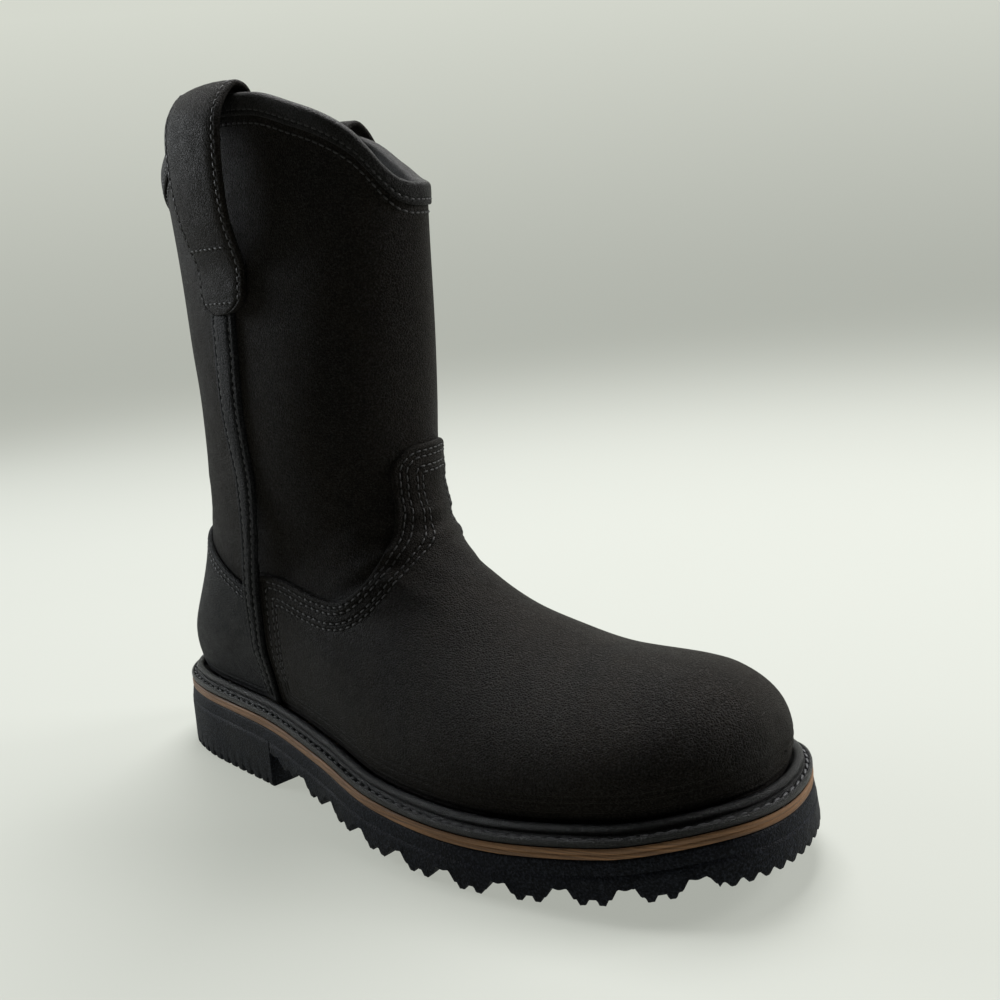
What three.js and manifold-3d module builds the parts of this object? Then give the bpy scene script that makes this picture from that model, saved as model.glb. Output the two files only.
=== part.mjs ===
// A pull-on steel toe work boot for the right foot, built in millimetres.
// While it is being built, x runs from the back of the heel (0) to the toe, -y is the outer
// (lateral) side and z is the height above the ground. The finished group is moved so that its
// origin is the bottom centre of its box.
import * as THREE from "three";
import { mergeVertices } from "three/addons/utils/BufferGeometryUtils.js";
import Module from "manifold-3d";

const wasm = await Module();
wasm.setup();

// ---- driving dimensions -------------------------------------------------------------------
const SOLE_LENGTH = 312; // outsole, heel to toe
const SOLE_WIDTH = 113; // outsole at the ball of the foot
const HEEL_HEIGHT = 27.3; // black rubber at the heel
const FORE_HEIGHT = 15.5; // black rubber at the ball, lugs included
const TOE_SPRING = 12; // how far the tip of the sole lifts
const SOLE_FLARE = 1.7; // the rubber widens by this much from its top edge to its bottom edge
const LUG_DEPTH = 7.5;
const LUG_PITCH = 22.8;
const MIDSOLE = 4;
const WELT = 3.2; // thickness of the flat lip
const BEAD_RADIUS = 1.7; // the round bead against the upper
const RIB_WIDTH = 2;
const INSOLE_BOARD = 2.2;
const FOOTBED = 4.5;
const SHANK_LENGTH = 105;
const SHANK_WIDTH = 15;
const SHANK_THICKNESS = 1.3;
const LEATHER = 1.85; // every leather panel
const LINING = 1.1;
const SHAFT_HEIGHT = 246; // seat of the heel to the collar at the side
const SHAFT_DEPTH_ANKLE = 123; // front to back
const SHAFT_DEPTH_TOP = 156;
const SHAFT_WIDTH_ANKLE = 77; // side to side
const SHAFT_WIDTH_TOP = 58;
const TOE_BOX_HEIGHT = 44.5; // above the seat
const CAP_LENGTH = 58; // steel cap, back from the tip
const CAP_EDGE = 7; // soft strip behind the cap
const TAB_WIDTH = 36; // the vamp's tongue tab
const TAB_HEIGHT = 110; // above the seat
const COVER_HEIGHT = 72; // heel counter cover, above the seat
const COUNTER_HEIGHT = 50; // stiffener inside it
const OVERLAP = 13; // how far a shaft panel runs under the vamp and the cover
const STAY_WIDTH = 15; // strap that covers the side seam
const PULL_WIDTH = 36; // pull strap at the collar
const PULL_TAB_WIDTH = 25; // pull strap at its stitched end
const PULL_LENGTH = 80; // from the collar down to the end of the outer leg
const PULL_GAP = 8.5; // finger room between the strap and the shaft
const PULL_THICKNESS = 2.2;
const BINDING_WIDTH = 9;
const BINDING = 1;
const THREAD = 1.2;
const GAP = 0.3; // clearance between pieces that touch

// ---- small helpers ------------------------------------------------------------------------
const { PI, sin, cos, min, max, hypot } = Math;
const lerp = THREE.MathUtils.lerp;
const clamp01 = (v) => THREE.MathUtils.clamp(v, 0, 1);
const range = (n, f) => Array.from({ length: n }, (_, i) => f(i));

// A smooth curve y(x) through points, flat beyond both ends.
function curve(points) {
  const n = points.length;
  const slope = (i) => {
    if (i <= 0 || i >= n - 1) return 0;
    const before = (points[i][1] - points[i - 1][1]) / (points[i][0] - points[i - 1][0]);
    const after = (points[i + 1][1] - points[i][1]) / (points[i + 1][0] - points[i][0]);
    return before * after > 0 ? (2 * before * after) / (before + after) : 0;
  };
  return (x) => {
    if (x <= points[0][0]) return points[0][1];
    if (x >= points[n - 1][0]) return points[n - 1][1];
    const i = points.findIndex((p) => p[0] > x) - 1;
    const h = points[i + 1][0] - points[i][0];
    const u = (x - points[i][0]) / h;
    const [a, b] = [points[i][1], points[i + 1][1]];
    const cubic = u * u * (3 - 2 * u);
    return (
      a + (b - a) * cubic + h * (slope(i) * u * (1 - u) ** 2 - slope(i + 1) * u * u * (1 - u))
    );
  };
}

function toSolid(geometry) {
  const bare = geometry.index ? geometry.toNonIndexed() : geometry.clone();
  bare.deleteAttribute("normal");
  bare.deleteAttribute("uv");
  const merged = mergeVertices(bare, 1e-4);
  return new wasm.Manifold(
    new wasm.Mesh({
      numProp: 3,
      vertProperties: new Float32Array(merged.attributes.position.array),
      triVerts: new Uint32Array(merged.index.array),
    }),
  );
}

function fromTriangles(triangles) {
  const geometry = new THREE.BufferGeometry();
  geometry.setAttribute("position", new THREE.Float32BufferAttribute(triangles.flat(2), 3));
  const solid = toSolid(geometry);
  if (solid.volume() > 0) return solid;
  return fromTriangles(triangles.map(([a, b, c]) => [a, c, b]));
}

// A closed body through rings of points. `loop` joins the last ring to the first one.
function loft(rings, loop = false) {
  const triangles = [];
  const n = rings[0].length;
  const last = loop ? rings.length : rings.length - 1;
  for (let i = 0; i < last; i++) {
    const a = rings[i];
    const b = rings[(i + 1) % rings.length];
    for (let j = 0; j < n; j++) {
      const k = (j + 1) % n;
      triangles.push([a[j], a[k], b[k]], [a[j], b[k], b[j]]);
    }
  }
  if (!loop) {
    triangles.push(...cap(rings[0], true), ...cap(rings[rings.length - 1], false));
  }
  return fromTriangles(triangles);
}

function cap(ring, flip) {
  const middle = [0, 1, 2].map((k) => ring.reduce((sum, p) => sum + p[k], 0) / ring.length);
  return ring.map((p, j) => {
    const q = ring[(j + 1) % ring.length];
    return flip ? [middle, q, p] : [middle, p, q];
  });
}

// A prism along y whose section is an outline of [x, z] points.
function prismY(outline, from = -120, to = 120) {
  const shape = new THREE.Shape(outline.map(([x, z]) => new THREE.Vector2(x, z)));
  const geometry = new THREE.ExtrudeGeometry(shape, { depth: to - from, bevelEnabled: false });
  geometry.rotateX(PI / 2);
  geometry.translate(0, to, 0);
  return toSolid(geometry);
}

// A prism along x whose section is an outline of [y, z] points.
function prismX(outline, from, to) {
  const shape = new THREE.Shape(outline.map(([y, z]) => new THREE.Vector2(y, z)));
  const geometry = new THREE.ExtrudeGeometry(shape, { depth: to - from, bevelEnabled: false });
  geometry.rotateX(PI / 2);
  geometry.rotateZ(PI / 2);
  geometry.translate(from, 0, 0);
  return toSolid(geometry);
}

const splinePoints = (points, count) =>
  new THREE.SplineCurve(points.map(([x, y]) => new THREE.Vector2(x, y)))
    .getPoints(count)
    .map((p) => [p.x, p.y]);

// ---- the outline of the sole --------------------------------------------------------------
// [share of the length, lateral half width, medial half width], both for a sole 113 mm wide.
const OUTLINE = [
  [0.015, 15, 15],
  [0.05, 27, 26],
  [0.11, 34, 33.5],
  [0.2, 38, 37],
  [0.3, 41.5, 35],
  [0.42, 49, 32.5],
  [0.54, 57.5, 37],
  [0.66, 59, 48.5],
  [0.78, 52.5, 54],
  [0.88, 42.5, 49.5],
  [0.95, 30, 39],
  [0.987, 16, 23],
];
const TIP_Y = 2;
const OUTLINE_STEPS = 22; // stations along each side
const widthScale = SOLE_WIDTH / 113;

const outlineCurve = new THREE.CatmullRomCurve3(
  [
    new THREE.Vector3(0, 0, 0),
    ...OUTLINE.map(([s, lateral]) => new THREE.Vector3(s * SOLE_LENGTH, -lateral * widthScale, 0)),
    new THREE.Vector3(SOLE_LENGTH, TIP_Y, 0),
    ...OUTLINE.toReversed().map(
      ([s, , medial]) => new THREE.Vector3(s * SOLE_LENGTH, medial * widthScale, 0),
    ),
  ],
  true,
  "centripetal",
);

// A point of the outline moved inwards; t runs once round it, heel, lateral side, toe, medial.
function edge(t, inset = 0) {
  const p = outlineCurve.getPoint(((t % 1) + 1) % 1);
  const q = outlineCurve.getPoint((t + 1.002) % 1);
  const o = outlineCurve.getPoint((t + 0.998) % 1);
  const length = hypot(q.x - o.x, q.y - o.y);
  const [tx, ty] = [(q.x - o.x) / length, (q.y - o.y) / length];
  return [p.x - ty * inset, p.y + tx * inset];
}

// Half width of the outline, moved inwards, at a place x. side is -1 lateral, 1 medial.
const OUTLINE_SAMPLES = 90;
const outlineTables = new Map();
function halfWidth(x, side, inset) {
  const key = side * Math.round(inset * 20 + 1e4);
  if (!outlineTables.has(key)) {
    const points = range(OUTLINE_SAMPLES + 1, (i) => {
      const t = (1 - cos((PI * i) / OUTLINE_SAMPLES)) / 4;
      return edge(side < 0 ? t : 1 - t, inset);
    });
    outlineTables.set(key, points);
  }
  const points = outlineTables.get(key);
  if (x <= points[0][0] || x >= points[OUTLINE_SAMPLES][0]) return 0;
  const i = max(points.findIndex((p) => p[0] > x) - 1, 0);
  const [[x0, y0], [x1, y1]] = [points[i], points[i + 1]];
  return max(side * lerp(y0, y1, clamp01((x - x0) / (x1 - x0))), 0);
}

// Top of the black rubber, as a height over x.
const drop = HEEL_HEIGHT - FORE_HEIGHT;
const rubberTop = curve(
  [
    [0, HEEL_HEIGHT + 0.5],
    [0.1, HEEL_HEIGHT],
    [0.25, HEEL_HEIGHT - 0.08 * drop],
    [0.42, FORE_HEIGHT + 0.55 * drop],
    [0.56, FORE_HEIGHT + 0.13 * drop],
    [0.7, FORE_HEIGHT],
    [0.85, FORE_HEIGHT + 0.3 * TOE_SPRING],
    [1, FORE_HEIGHT + TOE_SPRING],
  ].map(([s, z]) => [s * SOLE_LENGTH, z]),
);
const above = (height) => (x) => rubberTop(x) + height;

// Heights of the sole's layers over the top of the rubber.
const LIP_TOP = MIDSOLE + WELT;
const SEAT = LIP_TOP + GAP;
const BOARD_TOP = SEAT + INSOLE_BOARD;
const seat = above(SEAT);

// A layer with the sole's outline. Its insets and both its heights follow the outline.
function slab(inset, low, high, lowInset = inset, from = 0, to = 1) {
  const stations = range(OUTLINE_STEPS + 1, (i) => i / OUTLINE_STEPS).filter(
    (u) => u >= from - 1e-9 && u <= to + 1e-9,
  );
  const rings = stations.map((u) => {
    const t = lerp(0.0006, 0.4994, u);
    return [
      [t, lowInset, low],
      [1 - t, lowInset, low],
      [1 - t, inset, high],
      [t, inset, high],
    ].map(([v, d, z]) => {
      const [x, y] = edge(v, d);
      return [x, y, z(x)];
    });
  });
  return loft(rings);
}

// A band that runs all the way round; its section is a list of [inset, height] points.
function band(section, stations = 2 * OUTLINE_STEPS) {
  const rings = range(stations, (i) =>
    section.map(([inset, height]) => {
      const [x, y] = edge(i / stations, inset);
      return [x, y, rubberTop(x) + height];
    }),
  );
  return loft(rings, true);
}

// ---- the outsole: sidewall, heel and lugs in one moulding ----------------------------------
const HEEL_SHARE = 0.285; // how much of the length the heel takes
const WALL = FORE_HEIGHT - LUG_DEPTH; // height of the plain sidewall

const LUG_WIDTH = 0.76 * LUG_PITCH;
const TOOTH = 0.15 * LUG_PITCH; // half the distance between the two teeth of a lug

// t at a distance along the outline from the back of the heel; side is -1 lateral, 1 medial.
const outlineLength = outlineCurve.getLength();
const along = (distance, side) =>
  outlineCurve.getUtoTmapping(0, side < 0 ? distance : outlineLength - distance);

// A lug seen from the side: a block that narrows downwards, with a notch between two teeth.
function lug(t, inset, width, depth, reach) {
  const [x, y] = edge(t, inset);
  const [ix, iy] = edge(t, inset + 1);
  const inwards = [ix - x, iy - y];
  const forwards = [-inwards[1], inwards[0]];
  const z = rubberTop(x) - WALL;
  const half = width / 2;
  const tooth = min(TOOTH, 0.5 * half);
  const section = [
    [-half, 2],
    [half, 2],
    [half, 0],
    [tooth * 1.35, -depth],
    [tooth * 0.65, -depth],
    [0, -0.7 * depth],
    [-tooth * 0.65, -depth],
    [-tooth * 1.35, -depth],
    [-half, 0],
  ];
  const ring = (distance, spread) =>
    section.map(([s, h]) => [
      x + forwards[0] * s * spread + inwards[0] * distance,
      y + forwards[1] * s * spread + inwards[1] * distance,
      z + h,
    ]);
  return loft([ring(-SOLE_FLARE, 1), ring(reach, 0.8)]);
}

// The solid rubber round the toe, with a row of small teeth along its foot.
const TOE_TEETH = 13;
const TOE_SKIRT = 1.55 * LUG_PITCH; // how far it reaches back from the tip, on each side
function toeSkirt() {
  const tip = outlineCurve.getLengths(400)[200];
  const rings = range(2 * TOE_TEETH + 1, (i) => {
    const t = along(tip + lerp(-TOE_SKIRT, TOE_SKIRT, i / (2 * TOE_TEETH)), -1);
    const depth = (i % 2 ? 1 : 0.68) * 0.86 * LUG_DEPTH;
    return [
      [-SOLE_FLARE, -depth],
      [-0.4 * SOLE_FLARE, 1],
      [13, 1],
      [13, -depth],
    ].map(([inset, height]) => {
      const [x, y] = edge(t, inset);
      return [x, y, rubberTop(x) - WALL + height];
    });
  });
  return loft(rings);
}

function outsole() {
  const wall = slab(0, above(-WALL), above(0), -0.6 * SOLE_FLARE);
  const heel = slab(-0.6 * SOLE_FLARE, () => 0, above(-WALL + 1), -SOLE_FLARE, 0, 0.32);
  const breast = HEEL_SHARE * SOLE_LENGTH;
  const behindBreast = prismY([
    [-20, -5],
    [breast, -5],
    [breast + 8, HEEL_HEIGHT],
    [-20, HEEL_HEIGHT],
  ]);
  let body = wall.add(heel.intersect(behindBreast)).add(toeSkirt());
  const tip = outlineCurve.getLengths(400)[200];
  for (const side of [-1, 1]) {
    const half = side < 0 ? tip : outlineLength - tip;
    const count = Math.floor((half - 1.35 * breast - TOE_SKIRT) / LUG_PITCH);
    for (let i = 0; i < count; i++) {
      const place = half - TOE_SKIRT - (i + 0.7) * LUG_PITCH;
      body = body.add(lug(along(place, side), 0, LUG_WIDTH, LUG_DEPTH, 17));
    }
    for (let i = 1; i < count - 1; i++) {
      const place = half - TOE_SKIRT - (i + 0.2) * LUG_PITCH;
      const inset = side < 0 ? 28 : 24;
      body = body.add(lug(along(place, side), inset, 0.7 * LUG_PITCH, 0.8 * LUG_DEPTH, 14));
    }
    for (const distance of [21, 34, 47, 60]) {
      const [x, y] = edge(along(distance, side));
      const notch = prismX(
        [
          [-9, -1],
          [9, -1],
          [9, 2.4],
          [-9, 2.4],
        ],
        x - 1.5,
        x + 1.5,
      ).translate([0, y, 0]);
      body = body.subtract(notch);
    }
  }
  return body;
}

// ---- the stack between the outsole and the foot --------------------------------------------
const WELT_INNER = 12;
const BOARD_INSET = 0.0405 * SOLE_LENGTH + LEATHER; // the heel's setback and one layer of leather
const BEAD_INSET = 4.8;
const GROOVE_INSET = 2;

function welt() {
  const beadCentre = LIP_TOP + BEAD_RADIUS - 0.1;
  const bead = range(6, (i) => {
    const angle = lerp(-0.25 * PI, 1.25 * PI, i / 5);
    return [
      BEAD_INSET + BEAD_RADIUS * cos(angle),
      beadCentre + BEAD_RADIUS * sin(angle),
    ];
  });
  return band([
    [0.3, MIDSOLE + GAP],
    [WELT_INNER, MIDSOLE + GAP],
    [WELT_INNER, LIP_TOP],
    ...bead,
    [GROOVE_INSET + 0.8, LIP_TOP],
    [GROOVE_INSET + 0.6, LIP_TOP - 0.9],
    [GROOVE_INSET - 0.6, LIP_TOP - 0.9],
    [GROOVE_INSET - 0.8, LIP_TOP],
    [0.7, LIP_TOP],
    [0.3, LIP_TOP - 0.5],
  ]);
}

function weltThread() {
  const z = LIP_TOP - 0.9 + GAP + THREAD / 2;
  return band(
    range(5, (i) => {
      const angle = (i / 5) * 2 * PI;
      const radius = THREAD / 2;
      return [GROOVE_INSET + radius * 0.8 * cos(angle), z + radius * sin(angle)];
    }),
  );
}

const RIB_OUTER = WELT_INNER + GAP;
const FILLER_INSET = RIB_OUTER + RIB_WIDTH + GAP;
const shankMiddle = 0.37 * SOLE_LENGTH;

function shank(extra = 0) {
  const half = SHANK_LENGTH / 2 + extra;
  const rings = range(9, (i) => {
    const x = shankMiddle + lerp(-half, half, i / 8);
    const top = rubberTop(x) + LIP_TOP - GAP;
    const low = top - SHANK_THICKNESS - extra;
    const high = extra ? top + 5 : top;
    const w = SHANK_WIDTH / 2 + extra;
    return [
      [x, -w, low],
      [x, w, low],
      [x, w, high],
      [x, -w, high],
    ];
  });
  return loft(rings);
}

function footbed() {
  const inset = BOARD_INSET + LINING + 1.2;
  return slab(inset, above(BOARD_TOP + GAP), above(BOARD_TOP + GAP + FOOTBED), inset + 0.4);
}

// ---- the shape of the upper ----------------------------------------------------------------
// Cross-sections from the tip of the toe, back over the instep, and up the shaft. Each one lies
// in a plane through a bottom point B and a top point F of the side view. It has a lateral and
// a medial half width, a flat base, a lower arc up to the widest place and an upper arc.
const TUCK = 9; // how far the upper curls in towards the seat
const FEATHER = 8; // inset of the upper's widest line from the edge of the sole
const SINK = 8; // the form runs on this far below the seat
const shaftTop = SHAFT_HEIGHT + 23;
const noseX = SOLE_LENGTH - FEATHER - 0.5;
const heelSeat = rubberTop(0.12 * SOLE_LENGTH) + SEAT;

function section(b, f, lateral, medial, flat, widest, lower, upper) {
  return { b, f, lateral, medial, flat, widest, lower, upper };
}

// Toe: the side view closes like the nose of an egg.
function toeSection(x) {
  const start = 0.86 * SOLE_LENGTH;
  const reach = clamp01((x - start) / (noseX - start));
  const close = (1 - reach ** 2.3) ** (1 / 2.3);
  const closeLow = (1 - reach ** 3) ** (1 / 3);
  const centre = seat(x) + 12 * (1 - reach) + 9 * reach;
  const topZ = seat(start) + TOE_BOX_HEIGHT + 2.2 * reach;
  const baseZ = seat(x) - SINK;
  const lateral = halfWidth(x, -1, FEATHER);
  const medial = halfWidth(x, 1, FEATHER);
  const low = centre + (baseZ - centre) * closeLow;
  const high = centre + (topZ - centre) * close;
  const flat = max(1 - (TUCK * 1.2) / max(min(lateral, medial), 1), 0.05);
  const widest = (centre + 3 * closeLow - low) / max(high - low, 1e-3);
  return section([x, low], [x, high], lateral, medial, flat, min(widest, 0.6), 2, 1.8);
}

function footSection(sB, sF, height, heightB, lateral, medial, flat, widest, lower, upper) {
  const [xB, xF] = [sB * SOLE_LENGTH, sF * SOLE_LENGTH];
  return section(
    [xB, seat(xB) + heightB],
    [xF, heelSeat + height],
    lateral * widthScale,
    medial * widthScale,
    flat,
    widest,
    lower,
    upper,
  );
}

function shaftSection(share) {
  const z = lerp(TAB_HEIGHT + 14, shaftTop, share);
  const depth = lerp(SHAFT_DEPTH_ANKLE, SHAFT_DEPTH_TOP, share);
  const width = lerp(SHAFT_WIDTH_ANKLE, SHAFT_WIDTH_TOP, share);
  const middle = SOLE_LENGTH * 0.32 + share;
  return section(
    [middle - depth / 2, heelSeat + z],
    [middle + depth / 2, heelSeat + z],
    width / 2,
    width / 2,
    0,
    0.5,
    2,
    2,
  );
}

const toeStations = [1, 0.975, 0.9, 0.74, 0.5, 0.2].map((u) =>
  toeSection(lerp(0.84 * SOLE_LENGTH, noseX, u)),
);
const S = SOLE_LENGTH;
const STATIONS = [
  ...toeStations,
  footSection(0.77, 0.77, 37.5, -SINK, 46.5, 45.5, 0.8, 0.36, 2, 1.75),
  footSection(0.7, 0.7, 42.5, -SINK, 49.5, 42.5, 0.8, 0.34, 2, 1.7),
  footSection(0.635, 0.635, 49.5, -SINK, 50, 37.5, 0.8, 0.33, 2, 1.65),
  footSection(0.515, 0.58, 60.5, -SINK, 47, 33, 0.78, 0.34, 2, 1.65),
  footSection(0.38, 0.54, 71.5, -SINK, 42, 32.5, 0.7, 0.4, 2.1, 1.75),
  footSection(0.245, 0.52, 83, -SINK, 38, 34, 0.6, 0.48, 2.2, 1.85),
  footSection(0.115, 0.515, 93, -SINK, 36.5, 35.5, 0.45, 0.52, 2.2, 1.95),
  footSection(0.04, 0.5155, 97, -SINK, 36.5, 35.5, 0.3, 0.52, 2.2, 2),
  footSection(0.041, 0.5155, 101, 16, 36.5, 36, 0.2, 0.52, 2.1, 2),
  footSection(0.095, 0.515, 110, 62, 36.5, 36.5, 0.04, 0.51, 2, 2),
  ...[0, 0.2, 0.4, 0.6, 0.8, 1].map(shaftSection),
];
const ANKLE = STATIONS.length - 6; // index of the first shaft section
const TOP = STATIONS.length - 1;

function catmull(a, b, c, d, u) {
  const square = 2 * a - 5 * b + 4 * c - d;
  const cube = 3 * b - a - 3 * c + d;
  return 0.5 * (2 * b + (c - a) * u + square * u * u + cube * u ** 3);
}

function sectionAt(t) {
  const i = min(max(Math.floor(t), 0), TOP - 1);
  const u = t - i;
  const [a, b, c, d] = [i - 1, i, i + 1, i + 2].map((k) => STATIONS[min(max(k, 0), TOP)]);
  const mix = (pick) => catmull(pick(a), pick(b), pick(c), pick(d), u);
  return section(
    [mix((s) => s.b[0]), mix((s) => s.b[1])],
    [mix((s) => s.f[0]), mix((s) => s.f[1])],
    max(mix((s) => s.lateral), 0),
    max(mix((s) => s.medial), 0),
    clamp01(mix((s) => s.flat)),
    mix((s) => s.widest),
    mix((s) => s.lower),
    mix((s) => s.upper),
  );
}

const smooth = (v, from, to) => THREE.MathUtils.smoothstep(v, from, to);
const TOE_LAST = toeStations.length - 2;

// How far the form is drawn in under its widest line, at a height above the seat.
const tuck = (height) =>
  height < 0 ? 2.9 - 0.15 * height : 2.9 * clamp01(1 - height / 14) ** 2;

// A point of the upper's form. r runs once round the section: bottom, lateral, top, medial.
function form(t, r) {
  const s = sectionAt(t);
  const turn = ((r % 1) + 1) % 1;
  const lateral = turn < 0.5;
  const u = lateral ? 2 * turn : 2 - 2 * turn;
  const width = lateral ? s.lateral : s.medial;
  const base = 0.22 * s.flat;
  let a = 0;
  let y = 0;
  if (u < base) {
    y = (u / base) * s.flat * width;
  } else if (u < 0.5) {
    const angle = ((u - base) / (0.5 - base)) * (PI / 2);
    a = s.widest * (1 - cos(angle) ** (2 / s.lower));
    y = width * (s.flat + (1 - s.flat) * sin(angle) ** (2 / s.lower));
  } else {
    const angle = (u - 0.5) * PI;
    a = s.widest + (1 - s.widest) * sin(angle) ** (2 / s.upper);
    y = width * max(cos(angle), 0) ** (2 / s.upper);
  }
  const x = lerp(s.b[0], s.f[0], a);
  const z = lerp(s.b[1], s.f[1], a);
  const follow = clamp01((t - TOE_LAST) / 2) * (1 - smooth(z - seat(x), 8, 32));
  if (u >= base && follow > 0) {
    const limit = halfWidth(x, lateral ? -1 : 1, FEATHER + tuck(z - seat(x)));
    y = u < 0.5 ? lerp(y, limit, follow) : y * lerp(1, limit / width, follow);
  }
  return new THREE.Vector3(x, lateral ? -y : y, z);
}

// The same point moved along the outward normal.
function skin(t, r, offset) {
  const p = form(t, r);
  if (t < 0.01) return [p.x + offset, p.y, p.z];
  const step = 0.02;
  const alongT = form(min(t + step, TOP), r).sub(form(max(t - step, 0), r));
  const alongR = form(t, r + 0.006).sub(form(t, r - 0.006));
  const normal = alongR.cross(alongT).normalize();
  return p.addScaledVector(normal, offset).toArray();
}

const AROUND = 20;
const WAIST = [6, 7, 8, 9, 10, 11].map((i) => i + 0.5); // closer steps along the curved sides
const STEPS = [...range(TOP + 1, (i) => i), ...WAIST].sort((a, b) => a - b);

// The whole form, moved out by an offset, as one closed body.
function bodyAt(offset) {
  const amount = typeof offset === "function" ? offset : () => offset;
  const rings = STEPS.map((t) =>
    range(AROUND, (j) => {
      const r = j / AROUND;
      return skin(t, r, amount(form(t, r)));
    }),
  );
  return loft(rings);
}

// A point on the faceted body at an offset, between its sections.
function facetPoint(t, r, offset) {
  const i = min(Math.floor(t), TOP - 1);
  const [a, b] = [skin(i, r, offset), skin(i + 1, r, offset)];
  return a.map((v, k) => lerp(v, b[k], t - i));
}

// The space between two offsets of the form, open at the top.
function shell(inner, outer) {
  const wall = bodyAt(outer).subtract(bodyAt(inner));
  const roof = heelSeat + shaftTop - 4;
  return wall.subtract(
    prismY([
      [-90, roof],
      [SOLE_LENGTH, roof],
      [SOLE_LENGTH, roof + 60],
      [-90, roof + 60],
    ]),
  );
}

function below(height) {
  const line = range(61, (i) => {
    const x = lerp(-40, SOLE_LENGTH + 40, i / 60);
    return [x, rubberTop(x) + height];
  });
  return prismY([[-40, -60], [SOLE_LENGTH + 40, -60], ...line.toReversed()]);
}
const belowSeat = below(SEAT + GAP);
const belowBoard = below(BOARD_TOP + GAP);
const belowBead = below(LIP_TOP + 2 * BEAD_RADIUS + GAP);

// ---- the edges of the panels, in the side view ----------------------------------------------
const seamX = 0.298 * SOLE_LENGTH; // the side seam, under the stay

// Collar: high at the sides, low at the front and the back. The list gives how far it lies
// under its highest place for a turn from the back (0) to the front (0.5).
const collarDrop = curve([
  [0, 32],
  [0.04, 30],
  [0.08, 25.5],
  [0.13, 18],
  [0.18, 9],
  [0.22, 2.5],
  [0.25, 0],
  [0.29, 1.5],
  [0.335, 8],
  [0.365, 13],
  [0.4, 20.5],
  [0.425, 28],
  [0.445, 34],
  [0.47, 38.5],
  [0.5, 40],
]);
const medialDrop = curve([
  [0, 32],
  [0.08, 28],
  [0.16, 17],
  [0.21, 14],
  [0.25, 12.5],
  [0.29, 17.5],
  [0.34, 29],
  [0.39, 37],
  [0.44, 39.5],
  [0.5, 40],
]);
const collarHeight = (r) =>
  heelSeat + SHAFT_HEIGHT - (r > 0.5 ? medialDrop(1 - r) : collarDrop(r));
const shaftFoot = heelSeat + TAB_HEIGHT + 14; // height of the lowest level section
const shaftRun = shaftTop - TAB_HEIGHT - 14;
const sectionIndex = (z) => ANKLE + (5 * (z - shaftFoot)) / shaftRun;

const EDGE_ROOM = 1.3; // between the shaft's cut edge and the fold of the binding

// What lies over the collar, with the same facets as the shaft.
function aboveCollar() {
  const rings = range(AROUND, (i) => {
    const r = i / AROUND;
    const z = collarHeight(r) - EDGE_ROOM;
    const roof = heelSeat + shaftTop + 40;
    return [
      [-5, 0],
      [2, 0],
      [14, 8],
      [14, roof - z],
      [-14, roof - z],
      [-14, 8],
    ].map(([offset, raise]) => {
      const [x, y] = facetPoint(sectionIndex(z), r, offset);
      return [x, y, z + raise];
    });
  });
  return loft(rings, true);
}

// Vamp: a curved line over the sides of the foot and a tab up the front of the shaft.
function vampRegion(grow) {
  const lift = heelSeat + grow;
  const line = splinePoints(
    [
      [seamX - 14, lift + 60.5],
      [seamX + 12, lift + 59],
      [seamX + 30, lift + 54.5],
      [seamX + 44, lift + 52.5],
      [seamX + 53, lift + 55.5],
      [seamX + 60, lift + 65],
      [seamX + 66, lift + 80],
      [seamX + 72, lift + 90],
    ],
    22,
  );
  const back = seamX + 0.4 - (grow ? 40 : 0);
  const side = prismY([
    [back, -40],
    [SOLE_LENGTH + 60, -40],
    [SOLE_LENGTH + 60, lift + 90],
    ...line.filter(([x]) => x > back).reverse(),
    [back, line.find(([x]) => x > back)[1]],
  ]);
  const half = TAB_WIDTH / 2 + 0.4 * grow;
  const top = heelSeat + TAB_HEIGHT + grow;
  const corner = 0.6 * half;
  const arc = (cy, from) =>
    range(5, (i) => {
      const angle = from + (i / 4) * (PI / 2);
      return [cy + corner * cos(angle), top - corner + corner * sin(angle)];
    });
  const shift = 4;
  const tab = prismX(
    [
      [shift - half - 10, heelSeat + 34],
      [shift + half + 10, heelSeat + 34],
      [shift + half + 3, heelSeat + 56],
      [shift + half, heelSeat + 70],
      ...arc(shift + half - corner, 0),
      ...arc(shift - half + corner, PI / 2),
      [shift - half, heelSeat + 70],
      [shift - half - 3, heelSeat + 56],
    ],
    seamX + 25,
    SOLE_LENGTH,
  );
  return side.add(tab);
}

// Heel counter cover: higher at the back than at the side seam.
function coverRegion(height, front, grow = 0) {
  const lift = heelSeat + grow;
  const line = splinePoints(
    [
      [-60, lift + height],
      [20, lift + height],
      [0.5 * seamX, lift + height - 4],
      [front - 6, lift + 0.72 * height],
      [front, lift + 0.68 * height],
    ],
    14,
  );
  return prismY([[-60, -40], [front, -40], ...line.toReversed()]);
}

const inFront = (x) =>
  prismY([
    [x, -60],
    [SOLE_LENGTH + 80, -60],
    [SOLE_LENGTH + 80, 600],
    [x, 600],
  ]);
const behind = (x) =>
  prismY([
    [-90, -60],
    [x, -60],
    [x, 600],
    [-90, 600],
  ]);

// ---- the upper's pieces ---------------------------------------------------------------------
const layerOuter = [GAP / 2, GAP / 2 + LEATHER]; // vamp and heel cover
const layerMiddle = [-GAP / 2 - LEATHER, -GAP / 2]; // shaft panels, cap, stiffeners
const layerLining = [layerMiddle[0] - GAP - LINING, layerMiddle[0] - GAP];
const capBack = SOLE_LENGTH - FEATHER - CAP_LENGTH;
const coverFront = seamX - 0.4;

const outerShell = shell(...layerOuter).subtract(belowSeat);
const middleShell = shell(...layerMiddle).subtract(belowSeat);
const liningShell = shell(...layerLining).subtract(belowBoard);

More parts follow.
